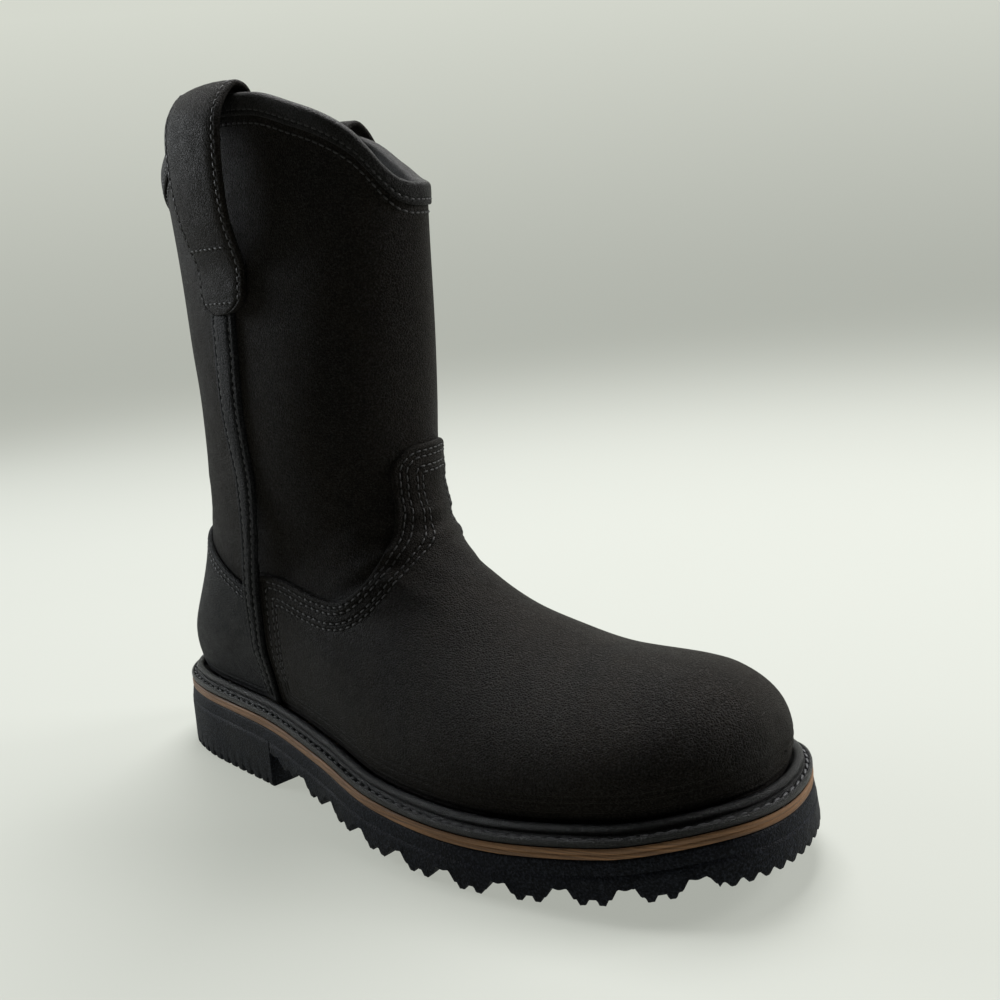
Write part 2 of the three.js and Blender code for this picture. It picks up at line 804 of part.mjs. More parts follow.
const collarCut = aboveCollar();
const vampHere = vampRegion(0);
const coverHere = coverRegion(COVER_HEIGHT, coverFront);
const underVamp = vampRegion(-OVERLAP);
const underCover = coverRegion(COVER_HEIGHT - OVERLAP, coverFront);
const shaftArea = middleShell.subtract(underVamp).subtract(underCover).subtract(collarCut);
const footArea = middleShell.intersect(vampRegion(-OVERLAP - GAP));

function stiffener() {
  const area = middleShell.intersect(coverRegion(COUNTER_HEIGHT, 0.36 * SOLE_LENGTH));
  return area.subtract(inFront(seamX - GAP / 2));
}

const liningJoint = heelSeat + 60;
const belowJoint = prismY([
  [-90, -60],
  [SOLE_LENGTH + 60, -60],
  [SOLE_LENGTH + 60, liningJoint],
  [-90, liningJoint],
]);

// The stay lies on the shaft and climbs over the cover and the vamp further down.
function stay(side) {
  const rise = (p) => {
    const over = clamp01((heelSeat + 100 - p.z) / 20);
    return lerp(GAP / 2, layerOuter[1] + GAP, over);
  };
  const wall = bodyAt((p) => rise(p) + LEATHER).subtract(bodyAt(rise));
  const half = STAY_WIDTH / 2;
  const top = collarHeight(side < 0 ? 0.25 : 0.75) - PULL_LENGTH - GAP;
  const sway = curve([
    [20, -4],
    [50, -3],
    [85, 1.5],
    [150, 1],
    [200, 0],
  ]);
  const centre = (z) => seamX + sway(z - heelSeat);
  const heights = range(9, (i) => lerp(-30, top, i / 8));
  const outline = [
    ...heights.map((z) => [centre(z) + half, z]),
    ...heights.toReversed().map((z) => [centre(z) - half, z]),
  ];
  const zone = side < 0 ? prismY(outline, -120, -8) : prismY(outline, 8, 120);
  return wall.intersect(zone).subtract(belowBead);
}

// y of the form's side at a place x and a height z on the shaft.
function shaftY(x, z) {
  const s = sectionAt(min(sectionIndex(z), TOP));
  const middle = (s.b[0] + s.f[0]) / 2;
  const q = (x - middle) / ((s.f[0] - s.b[0]) / 2);
  return s.lateral * Math.sqrt(max(1 - q * q, 0));
}

// Pull strap: up the outside, over the collar and down the inside, clear of the shaft between.
function pullStrap(side) {
  const collar = collarHeight(side < 0 ? 0.25 : 0.75);
  const rise = side < 0 ? 4.5 : 4;
  const flat = GAP + PULL_THICKNESS / 2;
  const inside = layerLining[0] - 3 * GAP - PULL_THICKNESS / 2;
  const out = PULL_GAP + PULL_THICKNESS / 2;
  const path = [
    [flat, -PULL_LENGTH],
    [flat, -PULL_LENGTH + 8],
    [flat, -PULL_LENGTH + 18],
    [flat + 0.3 * PULL_GAP, -PULL_LENGTH + 26],
    [0.8 * out, -PULL_LENGTH + 37],
    [out, -0.32 * PULL_LENGTH],
    [out - 0.5, -0.12 * PULL_LENGTH],
    [0.6 * out, -1],
    [0, rise],
    [inside - 0.5, 0.5 * rise],
    [inside - 2.2, -6],
    [inside - 2.2, -18],
    [inside - 0.3, -32],
    [inside, -42],
    [inside, -56],
  ];
  const line = splinePoints(path, 24);
  const total = line.length - 1;
  const rings = line.map(([offset, below], i) => {
    const [o0, z0] = line[max(i - 1, 0)];
    const [o1, z1] = line[min(i + 1, total)];
    const length = hypot(o1 - o0, z1 - z0);
    const normal = [(z1 - z0) / length, -(o1 - o0) / length];
    const climb = clamp01((below + PULL_LENGTH) / (0.8 * PULL_LENGTH));
    const width = lerp(PULL_TAB_WIDTH, PULL_WIDTH, climb);
    const round = i === 0 ? 0.45 : i === 1 ? 0.85 : 1;
    const across = [-1, 0, 1].map((k) => k * 0.5 * width * (i < 12 ? round : 1));
    const place = (k, sideways) => {
      const x = seamX + 2 + k;
      const z = collar + below + normal[1] * sideways;
      const y = shaftY(x, collar + below) + offset + normal[0] * sideways;
      return [x, side * y, z];
    };
    return [
      ...across.map((k) => place(k, PULL_THICKNESS / 2)),
      ...across.toReversed().map((k) => place(k, -PULL_THICKNESS / 2)),
    ];
  });
  return loft(rings);
}

// Binding: a folded strip over the raw edge of the collar.
function collarBinding() {
  const outer = GAP / 2;
  const inner = layerLining[0] - GAP;
  const section = [
    [outer, -BINDING_WIDTH],
    [outer + BINDING, -BINDING_WIDTH],
    [outer + BINDING, 0.6],
    [outer, 0.6 + BINDING],
    [inner, 0.6 + BINDING],
    [inner - BINDING, 0.6],
    [inner - BINDING, -BINDING_WIDTH],
    [inner, -BINDING_WIDTH],
    [inner, GAP],
    [outer, GAP],
    // The outer leg follows the curve of the shaft under it.
    ...range(7, (i) => [outer, (-(i + 1) / 8) * BINDING_WIDTH]),
  ];
  const rings = range(AROUND, (i) => {
    const r = i / AROUND;
    const climb = (offset, raise) => {
      const z = collarHeight(r) + raise;
      const [x, y] = facetPoint(sectionIndex(z), r, offset);
      return [x, y, z];
    };
    return section.map(([offset, raise]) => climb(offset, raise));
  });
  return loft(rings, true);
}

// ---- the assembly ----------------------------------------------------------------------------
const boot = new THREE.Group();
boot.name = "steel_toe_work_boot";

function piece(name, solid, colour, roughness, metalness = 0) {
  const mesh = solid.getMesh();
  const geometry = new THREE.BufferGeometry();
  geometry.setAttribute("position", new THREE.BufferAttribute(mesh.vertProperties, 3));
  geometry.setIndex(new THREE.BufferAttribute(mesh.triVerts, 1));
  geometry.computeVertexNormals();
  const material = new THREE.MeshStandardMaterial({ color: colour, roughness, metalness });
  const part = new THREE.Mesh(geometry, material);
  part.name = name;
  boot.add(part);
}

const UPPER = 0x1c1a18;
const TRIM = 0x17181a;
const RUBBER = 0x15171a;

piece("outsole", outsole(), RUBBER, 0.75);
piece("midsole", slab(0, above(GAP), above(MIDSOLE)), 0x6b4a30, 0.7);
piece("welt", welt(), 0x1b1c1d, 0.35);
piece("welt_thread", weltThread(), 0x2a2a2a, 0.6);
piece(
  "insole_rib",
  band(
    [
      [RIB_OUTER, MIDSOLE + GAP],
      [RIB_OUTER + RIB_WIDTH, MIDSOLE + GAP],
      [RIB_OUTER + RIB_WIDTH, LIP_TOP],
      [RIB_OUTER, LIP_TOP],
    ],
  ),
  0xc9b48c,
  0.9,
);
piece(
  "cork_filler",
  slab(FILLER_INSET, above(MIDSOLE + GAP), above(LIP_TOP)).subtract(shank(GAP)),
  0xa9794a,
  0.95,
);
piece("steel_shank", shank(), 0x8d9196, 0.35, 1);
piece("insole_board", slab(BOARD_INSET, above(SEAT), above(BOARD_TOP)), 0xb9a27a, 0.9);
piece("footbed", footbed(), 0x2c2d30, 0.95);
piece("vamp", outerShell.intersect(vampHere), UPPER, 0.62);
piece("heel_counter_cover", outerShell.intersect(coverHere), TRIM, 0.66);
piece("shaft_front", shaftArea.subtract(behind(seamX + GAP / 2)), UPPER, 0.62);
piece("shaft_back", shaftArea.subtract(inFront(seamX - GAP / 2)), UPPER, 0.62);
piece("heel_counter", stiffener(), 0xd8cdb4, 0.8);
piece("steel_toe_cap", footArea.subtract(behind(capBack)), 0x9a9da1, 0.4, 1);
piece(
  "toe_cap_edge",
  footArea.subtract(inFront(capBack - GAP)).subtract(behind(capBack - GAP - CAP_EDGE)),
  0x202020,
  0.8,
);
piece(
  "vamp_interlining",
  footArea
    .subtract(inFront(capBack - CAP_EDGE - 2 * GAP))
    .subtract(behind(seamX + GAP / 2)),
  0xbfb7a6,
  0.9,
);
piece("foot_lining", liningShell.intersect(belowJoint), 0x3a342d, 0.9);
piece(
  "shaft_lining",
  liningShell.subtract(belowJoint.translate([0, 0, GAP])).subtract(collarCut),
  0x5a4a3a,
  0.85,
);
piece("collar_binding", collarBinding(), TRIM, 0.55);
for (const [label, side] of [
  ["lateral", -1],
  ["medial", 1],
]) {
  piece("side_stay_" + label, stay(side), TRIM, 0.6);
  piece("pull_strap_" + label, pullStrap(side), UPPER, 0.62);
}

const box = new THREE.Box3().setFromObject(boot);
for (const part of boot.children) {
  part.geometry.translate(-(box.min.x + box.max.x) / 2, -(box.min.y + box.max.y) / 2, -box.min.z);
}

export default boot;
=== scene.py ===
"""Looks of the pull-on steel toe work boot.

The visual pieces are built from the same form as the CAD: sections from the tip of the toe, back
over the instep and up the shaft. Lengths in this script are millimetres from the back of the heel
until a piece is made, which turns them into metres in the row frame.
"""

import math

import bpy
import numpy as np
from mathutils import Matrix, Vector


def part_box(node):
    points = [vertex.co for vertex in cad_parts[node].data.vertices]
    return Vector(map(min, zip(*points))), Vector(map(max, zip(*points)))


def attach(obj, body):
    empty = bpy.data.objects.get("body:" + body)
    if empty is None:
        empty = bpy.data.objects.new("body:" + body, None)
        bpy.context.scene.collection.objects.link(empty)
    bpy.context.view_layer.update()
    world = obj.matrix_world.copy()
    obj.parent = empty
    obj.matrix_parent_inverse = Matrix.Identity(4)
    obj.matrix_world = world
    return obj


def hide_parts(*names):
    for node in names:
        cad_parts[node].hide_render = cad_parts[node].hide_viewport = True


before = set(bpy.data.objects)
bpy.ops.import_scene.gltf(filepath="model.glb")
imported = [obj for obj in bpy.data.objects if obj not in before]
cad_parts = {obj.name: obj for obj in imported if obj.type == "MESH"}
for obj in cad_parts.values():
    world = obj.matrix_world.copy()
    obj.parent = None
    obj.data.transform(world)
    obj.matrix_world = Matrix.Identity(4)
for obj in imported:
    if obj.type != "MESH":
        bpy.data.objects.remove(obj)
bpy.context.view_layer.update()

# ---- sizes, from the frame ----
sole_low, sole_high = (np.array(c) * 1000 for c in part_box("outsole"))
MIDSOLE_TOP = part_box("midsole")[1][2] * 1000
FLARE = 1.7  # the rubber widens by this much from its top edge to its bottom edge
HEEL_HEIGHT = sole_high[2] - 0.5
FORE_HEIGHT = 15.5  # rubber at the ball of the foot, lugs included
MIDSOLE = 4.0
WELT = 3.2
BEAD = 1.7
GAP = 0.3
TOE_SPRING = MIDSOLE_TOP - FORE_HEIGHT - (MIDSOLE + GAP)
LEATHER = 1.85
LINING = 1.1
SHAFT_HEIGHT = 246.0  # seat of the heel to the collar at the side
SHAFT_DEPTH = (123, 156)  # front to back, at the ankle and at the top
SHAFT_WIDTH = (77, 58)  # side to side, likewise
TOE_BOX_HEIGHT = 44.5
INSOLE_BOARD = 2.2
FOOTBED = 4.5
EDGE_ROOM = 1.3  # between the shaft's cut edge and the fold of the binding
STITCH_SINK = 0.22  # how far a stitch sits below the leather's face
HEEL_SHARE = 0.285  # how much of the length the heel takes
TAB_HEIGHT = 110.0
TAB_WIDTH = 36.0
COVER_HEIGHT = 72.0
OVERLAP = 13.0
STAY_WIDTH = 15.0
PULL_WIDTH, PULL_TAB, PULL_LENGTH, PULL_GAP, PULL_THICK = 36.0, 29.0, 80.0, 8.5, 2.2
FEATHER, SINK, TUCK = 8.0, 8.0, 9.0
S = 312.0  # length of the sole


# ---- curves ----
def smooth_curve(points):
    """A smooth y(x) through points, flat beyond both ends."""
    px = np.array([p[0] for p in points], float)
    py = np.array([p[1] for p in points], float)
    d = np.diff(py) / np.diff(px)
    m = np.zeros(len(px))
    for i in range(1, len(px) - 1):
        if d[i - 1] * d[i] > 0:
            m[i] = 2 * d[i - 1] * d[i] / (d[i - 1] + d[i])

    def value(x):
        x = np.clip(np.asarray(x, float), px[0], px[-1])
        i = np.clip(np.searchsorted(px, x, side="right") - 1, 0, len(px) - 2)
        h = px[i + 1] - px[i]
        u = (x - px[i]) / h
        cubic = u * u * (3 - 2 * u)
        ends = m[i] * u * (1 - u) ** 2 - m[i + 1] * u * u * (1 - u)
        return py[i] + (py[i + 1] - py[i]) * cubic + h * ends

    return value


def spline(points, count):
    """count + 1 points on a smooth line through points."""
    p = np.array(points, float)
    p = np.vstack([2 * p[0] - p[1], p, 2 * p[-1] - p[-2]])
    s = np.linspace(0, len(points) - 1, count + 1)
    i = np.minimum(s.astype(int), len(points) - 2)
    u = (s - i)[:, None]
    a, b, c, d = p[i], p[i + 1], p[i + 2], p[i + 3]
    return 0.5 * (
        2 * b + (c - a) * u + (2 * a - 5 * b + 4 * c - d) * u**2 + (3 * b - a - 3 * c + d) * u**3
    )


def step(x, a, b):
    """A smooth step from 0 at a to 1 at b."""
    u = np.clip((np.asarray(x, float) - a) / (b - a), 0, 1)
    return u * u * (3 - 2 * u)


def wave(*args):
    """A smooth wavy field from -1 to 1 for coordinates in millimetres and wavelengths."""
    total = 0
    for k, (p, length, phase) in enumerate(args):
        total = total + np.sin(2 * math.pi * p / length + phase + 0.9 * k)
    return total / len(args)


# ---- the outline of the sole ----
OUTLINE = [
    (0.015, 15, 15), (0.05, 27, 26), (0.11, 34, 33.5), (0.2, 38, 37), (0.3, 41.5, 35),
    (0.42, 49, 32.5), (0.54, 57.5, 37), (0.66, 59, 48.5), (0.78, 52.5, 54),
    (0.88, 42.5, 49.5), (0.95, 30, 39), (0.987, 16, 23),
]
ring = (
    [(0, 0)]
    + [(s * S, -a) for s, a, _ in OUTLINE]
    + [(S, 2)]
    + [(s * S, b) for s, _, b in reversed(OUTLINE)]
)
ring = np.array(ring, float)


def outline_point(t):
    """The closed centripetal curve through the outline's points."""
    n = len(ring)
    p = np.mod(np.asarray(t, float), 1) * n
    i = np.floor(p).astype(int) % n
    w = (p - np.floor(p))[..., None]
    q = [ring[(i + k) % n] for k in (-1, 0, 1, 2)]
    d = [np.sum((q[k + 1] - q[k]) ** 2, -1, keepdims=True) ** 0.25 for k in range(3)]
    t1 = (q[1] - q[0]) / d[0] - (q[2] - q[0]) / (d[0] + d[1]) + (q[2] - q[1]) / d[1]
    t2 = (q[2] - q[1]) / d[1] - (q[3] - q[1]) / (d[1] + d[2]) + (q[3] - q[2]) / d[2]
    t1, t2 = t1 * d[1], t2 * d[1]
    c2 = -3 * q[1] + 3 * q[2] - 2 * t1 - t2
    c3 = 2 * q[1] - 2 * q[2] + t1 + t2
    return q[1] + t1 * w + c2 * w**2 + c3 * w**3


def edge(t, inset=0.0):
    """A point of the outline moved inwards, as x and y."""
    t = np.asarray(t, float)
    p, q, o = outline_point(t), outline_point(t + 0.002), outline_point(t - 0.002)
    d = q - o
    d = d / np.linalg.norm(d, axis=-1, keepdims=True)
    return p[..., 0] - d[..., 1] * inset, p[..., 1] + d[..., 0] * inset


X_GRID = np.linspace(0, S, 625)
INSETS = np.arange(0, 20.01, 0.5)
HALF = np.zeros((2, len(INSETS), len(X_GRID)))
for a, inset in enumerate(INSETS):
    share = (1 - np.cos(np.pi * np.linspace(0, 1, 181))) / 4
    for side, t in ((0, share), (1, 1 - share)):
        ex, ey = edge(t, inset)
        HALF[side, a] = np.interp(X_GRID, ex, ey * (-1, 1)[side], left=0, right=0)
HALF = np.maximum(HALF, 0)


def half_width(x, side, inset):
    """Half width of the inset outline at a place x; side is 0 lateral, 1 medial."""
    u = np.clip(np.asarray(x, float) / S * (len(X_GRID) - 1), 0, len(X_GRID) - 1.001)
    v = np.clip(np.asarray(inset, float) / 0.5, 0, len(INSETS) - 1.001)
    i, j = u.astype(int), v.astype(int)
    fu, fv = u - i, v - j
    g = HALF[side]
    return (g[j, i] * (1 - fu) + g[j, i + 1] * fu) * (1 - fv) + (
        g[j + 1, i] * (1 - fu) + g[j + 1, i + 1] * fu
    ) * fv


drop = HEEL_HEIGHT - FORE_HEIGHT
rubber_top = smooth_curve(
    [
        (0, HEEL_HEIGHT + 0.5), (0.1 * S, HEEL_HEIGHT), (0.25 * S, HEEL_HEIGHT - 0.08 * drop),
        (0.42 * S, FORE_HEIGHT + 0.55 * drop), (0.56 * S, FORE_HEIGHT + 0.13 * drop),
        (0.7 * S, FORE_HEIGHT), (0.85 * S, FORE_HEIGHT + 0.3 * TOE_SPRING),
        (S, FORE_HEIGHT + TOE_SPRING),
    ]
)
LIP_TOP = MIDSOLE + WELT
SEAT = LIP_TOP + GAP
BOARD_TOP = SEAT + INSOLE_BOARD


def seat(x):
    """Height of the seat, where the upper and the insole board rest."""
    return rubber_top(x) + SEAT


# The row frame's origin, in heel coordinates.
fine = outline_point(np.linspace(0, 1, 4001))
ORIGIN = np.array([-sole_low[0] - FLARE, fine[:, 1].min() - FLARE - sole_low[1], 0])

# ---- the form of the upper ----
heel_seat = float(seat(0.12 * S))
SHAFT_TOP = SHAFT_HEIGHT + 23
NOSE = S - FEATHER - 0.5
seam_x = 0.298 * S
KEYS = ("bx", "bz", "fx", "fz", "lateral", "medial", "flat", "widest", "lower", "upper")


def toe_section(x):
    start = 0.86 * S
    reach = min(max((x - start) / (NOSE - start), 0), 1)
    close = (1 - reach**2.3) ** (1 / 2.3)
    close_low = (1 - reach**3) ** (1 / 3)
    here = float(seat(x))
    centre = here + 12 * (1 - reach) + 9 * reach
    top = float(seat(start)) + TOE_BOX_HEIGHT + 2.2 * reach
    lateral = float(half_width(x, 0, FEATHER))
    medial = float(half_width(x, 1, FEATHER))
    low = centre + (here - SINK - centre) * close_low
    high = centre + (top - centre) * close
    flat = max(1 - TUCK * 1.2 / max(min(lateral, medial), 1), 0.05)
    widest = min((centre + 3 * close_low - low) / max(high - low, 1e-3), 0.6)
    return (x, low, x, high, lateral, medial, flat, widest, 2, 1.8)


def foot_section(sb, sf, height, height_b, *rest):
    return (sb * S, float(seat(sb * S)) + height_b, sf * S, heel_seat + height, *rest)


def shaft_section(share):
    z = TAB_HEIGHT + 14 + (SHAFT_TOP - TAB_HEIGHT - 14) * share
    depth = SHAFT_DEPTH[0] + (SHAFT_DEPTH[1] - SHAFT_DEPTH[0]) * share
    width = SHAFT_WIDTH[0] + (SHAFT_WIDTH[1] - SHAFT_WIDTH[0]) * share
    middle = S * 0.32 + share
    return (
        middle - depth / 2, heel_seat + z, middle + depth / 2, heel_seat + z,
        width / 2, width / 2, 0, 0.5, 2, 2,
    )


toe_x = [0.84 * S + (NOSE - 0.84 * S) * u for u in (1, 0.975, 0.9, 0.74, 0.5, 0.2)]
STATIONS = np.array(
    [toe_section(x) for x in toe_x]
    + [
        foot_section(0.77, 0.77, 37.5, -SINK, 46.5, 45.5, 0.8, 0.36, 2, 1.75),
        foot_section(0.7, 0.7, 42.5, -SINK, 49.5, 42.5, 0.8, 0.34, 2, 1.7),
        foot_section(0.635, 0.635, 49.5, -SINK, 50, 37.5, 0.8, 0.33, 2, 1.65),
        foot_section(0.515, 0.58, 60.5, -SINK, 47, 33, 0.78, 0.34, 2, 1.65),
        foot_section(0.38, 0.54, 71.5, -SINK, 42, 32.5, 0.7, 0.4, 2.1, 1.75),
        foot_section(0.245, 0.52, 83, -SINK, 38, 34, 0.6, 0.48, 2.2, 1.85),
        foot_section(0.115, 0.515, 93, -SINK, 36.5, 35.5, 0.45, 0.52, 2.2, 1.95),
        foot_section(0.04, 0.5155, 97, -SINK, 36.5, 35.5, 0.3, 0.52, 2.2, 2),
        foot_section(0.041, 0.5155, 101, 16, 36.5, 36, 0.2, 0.52, 2.1, 2),
        foot_section(0.095, 0.515, 110, 62, 36.5, 36.5, 0.04, 0.51, 2, 2),
    ]
    + [shaft_section(u) for u in (0, 0.2, 0.4, 0.6, 0.8, 1)],
    float,
)
TOP = len(STATIONS) - 1
ANKLE = TOP - 5
TOE_LAST = len(toe_x) - 2


def sections_at(t):
    """The section's sizes at a station index, which may fall between two stations."""
    t = np.asarray(t, float)
    i = np.clip(np.floor(t), 0, TOP - 1).astype(int)
    u = (t - i)[..., None]
    a, b, c, d = (STATIONS[np.clip(i + k, 0, TOP)] for k in (-1, 0, 1, 2))
    v = 0.5 * (
        2 * b + (c - a) * u + (2 * a - 5 * b + 4 * c - d) * u**2 + (3 * b - a - 3 * c + d) * u**3
    )
    s = {k: v[..., n] for n, k in enumerate(KEYS)}
    s["lateral"] = np.maximum(s["lateral"], 0)
    s["medial"] = np.maximum(s["medial"], 0)
    s["flat"] = np.clip(s["flat"], 0, 1)
    return s


def tuck(height):
    """How far the upper pulls in close to the sole."""
    return np.where(height < 0, 2.9 - 0.15 * height, 2.9 * np.clip(1 - height / 14, 0, 1) ** 2)


def form(t, r):
    """Points of the form; r runs once round a section: bottom, lateral, top, medial."""
    t, r = np.broadcast_arrays(np.asarray(t, float), np.asarray(r, float))
    s = sections_at(t)
    turn = np.mod(r, 1)
    is_lateral = turn < 0.5
    u = np.where(is_lateral, 2 * turn, 2 - 2 * turn)
    width = np.where(is_lateral, s["lateral"], s["medial"])
    base = 0.22 * s["flat"]
    low_angle = np.clip((u - base) / np.maximum(0.5 - base, 1e-6), 0, 1) * (math.pi / 2)
    high_angle = np.clip((u - 0.5) * math.pi, 0, math.pi / 2)
    lo, up = 2 / s["lower"], 2 / s["upper"]
    a_low = s["widest"] * (1 - np.maximum(np.cos(low_angle), 0) ** lo)
    y_low = width * (s["flat"] + (1 - s["flat"]) * np.sin(low_angle) ** lo)
    a_high = s["widest"] + (1 - s["widest"]) * np.sin(high_angle) ** up
    y_high = width * np.maximum(np.cos(high_angle), 0) ** up
    y_flat = u / np.maximum(base, 1e-6) * s["flat"] * width
    a = np.where(u < base, 0, np.where(u < 0.5, a_low, a_high))
    y = np.where(u < base, y_flat, np.where(u < 0.5, y_low, y_high))
    x = s["bx"] + (s["fx"] - s["bx"]) * a
    z = s["bz"] + (s["fz"] - s["bz"]) * a
    height = z - seat(x)
    follow = np.clip((t - TOE_LAST) / 2, 0, 1) * (1 - step(height, 8, 32))
    inset = FEATHER + tuck(height)
    limit = np.where(is_lateral, half_width(x, 0, inset), half_width(x, 1, inset))
    y = np.where((u < 0.5) & (u >= base), y + (limit - y) * follow, y)
    y = np.where(u >= 0.5, y * (1 + (limit / np.maximum(width, 1) - 1) * follow), y)
    return np.stack([x, np.where(is_lateral, -y, y), z], -1)


def normals(t, r):
    t, r = np.broadcast_arrays(np.asarray(t, float), np.asarray(r, float))
    along_t = form(np.minimum(t + 0.02, TOP), r) - form(np.maximum(t - 0.02, 0), r)
    along_r = form(t, r + 0.006) - form(t, r - 0.006)
    n = np.cross(along_r, along_t)
    n = n / np.maximum(np.linalg.norm(n, axis=-1, keepdims=True), 1e-9)
    return np.where((t < 0.01)[..., None], np.array([1.0, 0, 0]), n)


def index_of(z):
    """The station index of a height on the shaft."""
    foot = heel_seat + TAB_HEIGHT + 14
    return ANKLE + 5 * (np.asarray(z, float) - foot) / (SHAFT_TOP - TAB_HEIGHT - 14)


lateral_drop = smooth_curve(
    [
        (0, 32), (0.04, 30), (0.08, 25.5), (0.13, 18), (0.18, 9), (0.22, 2.5), (0.25, 0),
        (0.29, 1.5), (0.335, 8), (0.365, 13), (0.4, 20.5), (0.425, 28), (0.445, 34),
        (0.47, 38.5), (0.5, 40),
    ]
)
medial_drop = smooth_curve(
    [
        (0, 32), (0.08, 28), (0.16, 17), (0.21, 14), (0.25, 12.5), (0.29, 17.5), (0.34, 29),
        (0.39, 37), (0.44, 39.5), (0.5, 40),
    ]
)


def collar_height(r):
    r = np.mod(r, 1)
    return heel_seat + SHAFT_HEIGHT - np.where(r > 0.5, medial_drop(1 - r), lateral_drop(r))


# ---- wrinkles and softness of the leather ----
def bump(p, centre, along, length, width):
    """A soft ridge at centre, along a direction in the side view, as 0 to 1."""
    d = p - np.array(centre, float)
    a = np.array([along[0], 0, along[1]]) / math.hypot(*along)
    s = d @ a
    n = d @ np.array([-a[2], 0, a[0]])
    side = d[..., 1]
    return np.exp(-((s / length) ** 2) - (n / width) ** 2 - (side / 30) ** 2)


CREASES = [
    # centre x, y, z, direction x, z, length, width, height
    (150, -28, 96, 1, 0.55, 16, 2.2, -0.8),
    (155, -26, 104, 1, 0.35, 14, 2.0, 0.7),
    (148, -30, 89, 1, 0.75, 15, 2.4, 0.6),
    (164, -20, 100, 1, -0.1, 15, 2.0, -0.7),
    (166, -16, 92, 1, -0.45, 16, 2.2, 0.7),
    (172, -14, 86, 1, -0.5, 15, 2.0, -0.6),
    (158, -28, 82, 1, 0.2, 17, 2.6, -0.6),
    (160, -14, 112, 1, 0.1, 18, 2.2, -0.9),
    (160, -12, 118, 1, 0.05, 18, 2.2, 0.7),
    (158, -10, 126, 1, -0.05, 16, 2.4, -0.5),
    (150, 28, 96, 1, 0.55, 16, 2.2, -0.8),
    (156, 26, 105, 1, 0.3, 14, 2.0, 0.7),
    (166, 18, 96, 1, -0.3, 15, 2.2, -0.7),
    (160, 16, 114, 1, 0.1, 18, 2.2, -0.8),
    (130, -38, 74, 1, -0.25, 22, 3.0, -0.45),
    (140, -36, 66, 1, -0.4, 22, 3.0, 0.4),
    (30, -14, 122, 1, 0.1, 22, 3.0, -0.6),
    (32, -14, 132, 1, 0.05, 22, 3.2, 0.5),
    (34, 10, 126, 1, 0.1, 22, 3.0, -0.6),
    (48, -34, 118, 1, 0.2, 18, 3.0, -0.5),
]


def softness(p):
    """How far the leather's outer layers stand off the form, for points in heel coordinates."""
    x, y, z = p[..., 0], p[..., 1], p[..., 2]
    total = np.zeros(x.shape)
    for cx, cy, cz, dx, dz, length, width, height in CREASES:
        total = total + 0.85 * height * bump(p, (cx, cy, cz), (dx, dz), length, width)
    shaft = step(z, heel_seat + 60, heel_seat + 120)
    broad = wave((z, 83, 0.4), (x, 97, 1.3), (z + 1.7 * x, 131, 2.2))
    total = total + shaft * (0.55 * broad)
    ankle = step(z, 84, 100) * (1 - step(z, 128, 150)) * step(x, 118, 150)
    folds = wave((z + 0.35 * x + 0.3 * y, 9.5, 0.3), (z - 0.5 * x, 13.5, 1.1))
    total = total + ankle * 0.3 * folds
    foot = 1 - step(z, 70, 110)
    total = total + foot * 0.22 * wave((x, 61, 0.2), (y, 43, 1.7), (x + y, 77, 0.5))
    return total * step(z - seat(x), 4, 22)


# ---- meshes ----
def to_row(points):
    """Millimetres from the heel to metres in the row frame."""
    return (np.asarray(points, float) - ORIGIN) / 1000


def make(name, vertices, faces, material, replaces=(), body="boot"):
    mesh = bpy.data.meshes.new(name)
    mesh.from_pydata(to_row(vertices).tolist(), [], [list(map(int, f)) for f in faces])
    mesh.validate()
    mesh.update()
    mesh.polygons.foreach_set("use_smooth", [True] * len(mesh.polygons))
    piece = bpy.data.objects.new(name, mesh)
    bpy.context.scene.collection.objects.link(piece)
    mesh.materials.append(material)
    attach(piece, body)
    if replaces:
        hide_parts(*replaces)
    return piece


class Builder:
    """Collects vertices and faces of a mesh."""

    def __init__(self):
        self.v = []
        self.f = []
        self.n = 0

    def add(self, vertices, faces):
        vertices = np.asarray(vertices, float).reshape(-1, 3)
        self.v.append(vertices)
        self.f += [[i + self.n for i in face] for face in faces]
        self.n += len(vertices)

    def grid(self, rings, closed_ring=True, loop=False, caps=True):
        """Rings of points joined in order: an array of shape (rings, points, 3)."""
        rings = np.asarray(rings, float)
        m, n = rings.shape[:2]
        faces = []
        for i in range(m if loop else m - 1):
            k = (i + 1) % m
            for j in range(n if closed_ring else n - 1):
                l = (j + 1) % n
                faces.append([i * n + j, k * n + j, k * n + l, i * n + l])
        if caps and not loop:
            faces.append(list(range(n)))
            faces.append([(m - 1) * n + j for j in range(n - 1, -1, -1)])
        self.add(rings, faces)

    def data(self):
        return np.vstack(self.v), self.f


NT_PER = 12  # steps between stations
NR = 208
T_LINE = np.unique(
    np.concatenate([np.linspace(i, i + 1, (7 if i < 5 else NT_PER) + 1) for i in range(TOP)])
)
R_LINE = np.arange(NR) / NR
GRID_T, GRID_R = np.meshgrid(T_LINE, R_LINE, indexing="ij")
GRID_P = form(GRID_T, GRID_R)


def point_at(t, r, offset, soft=True):
    p = form(t, r)
    lift = softness(p) if soft else 0
    return p + normals(t, r) * (np.asarray(offset) + lift)[..., None]


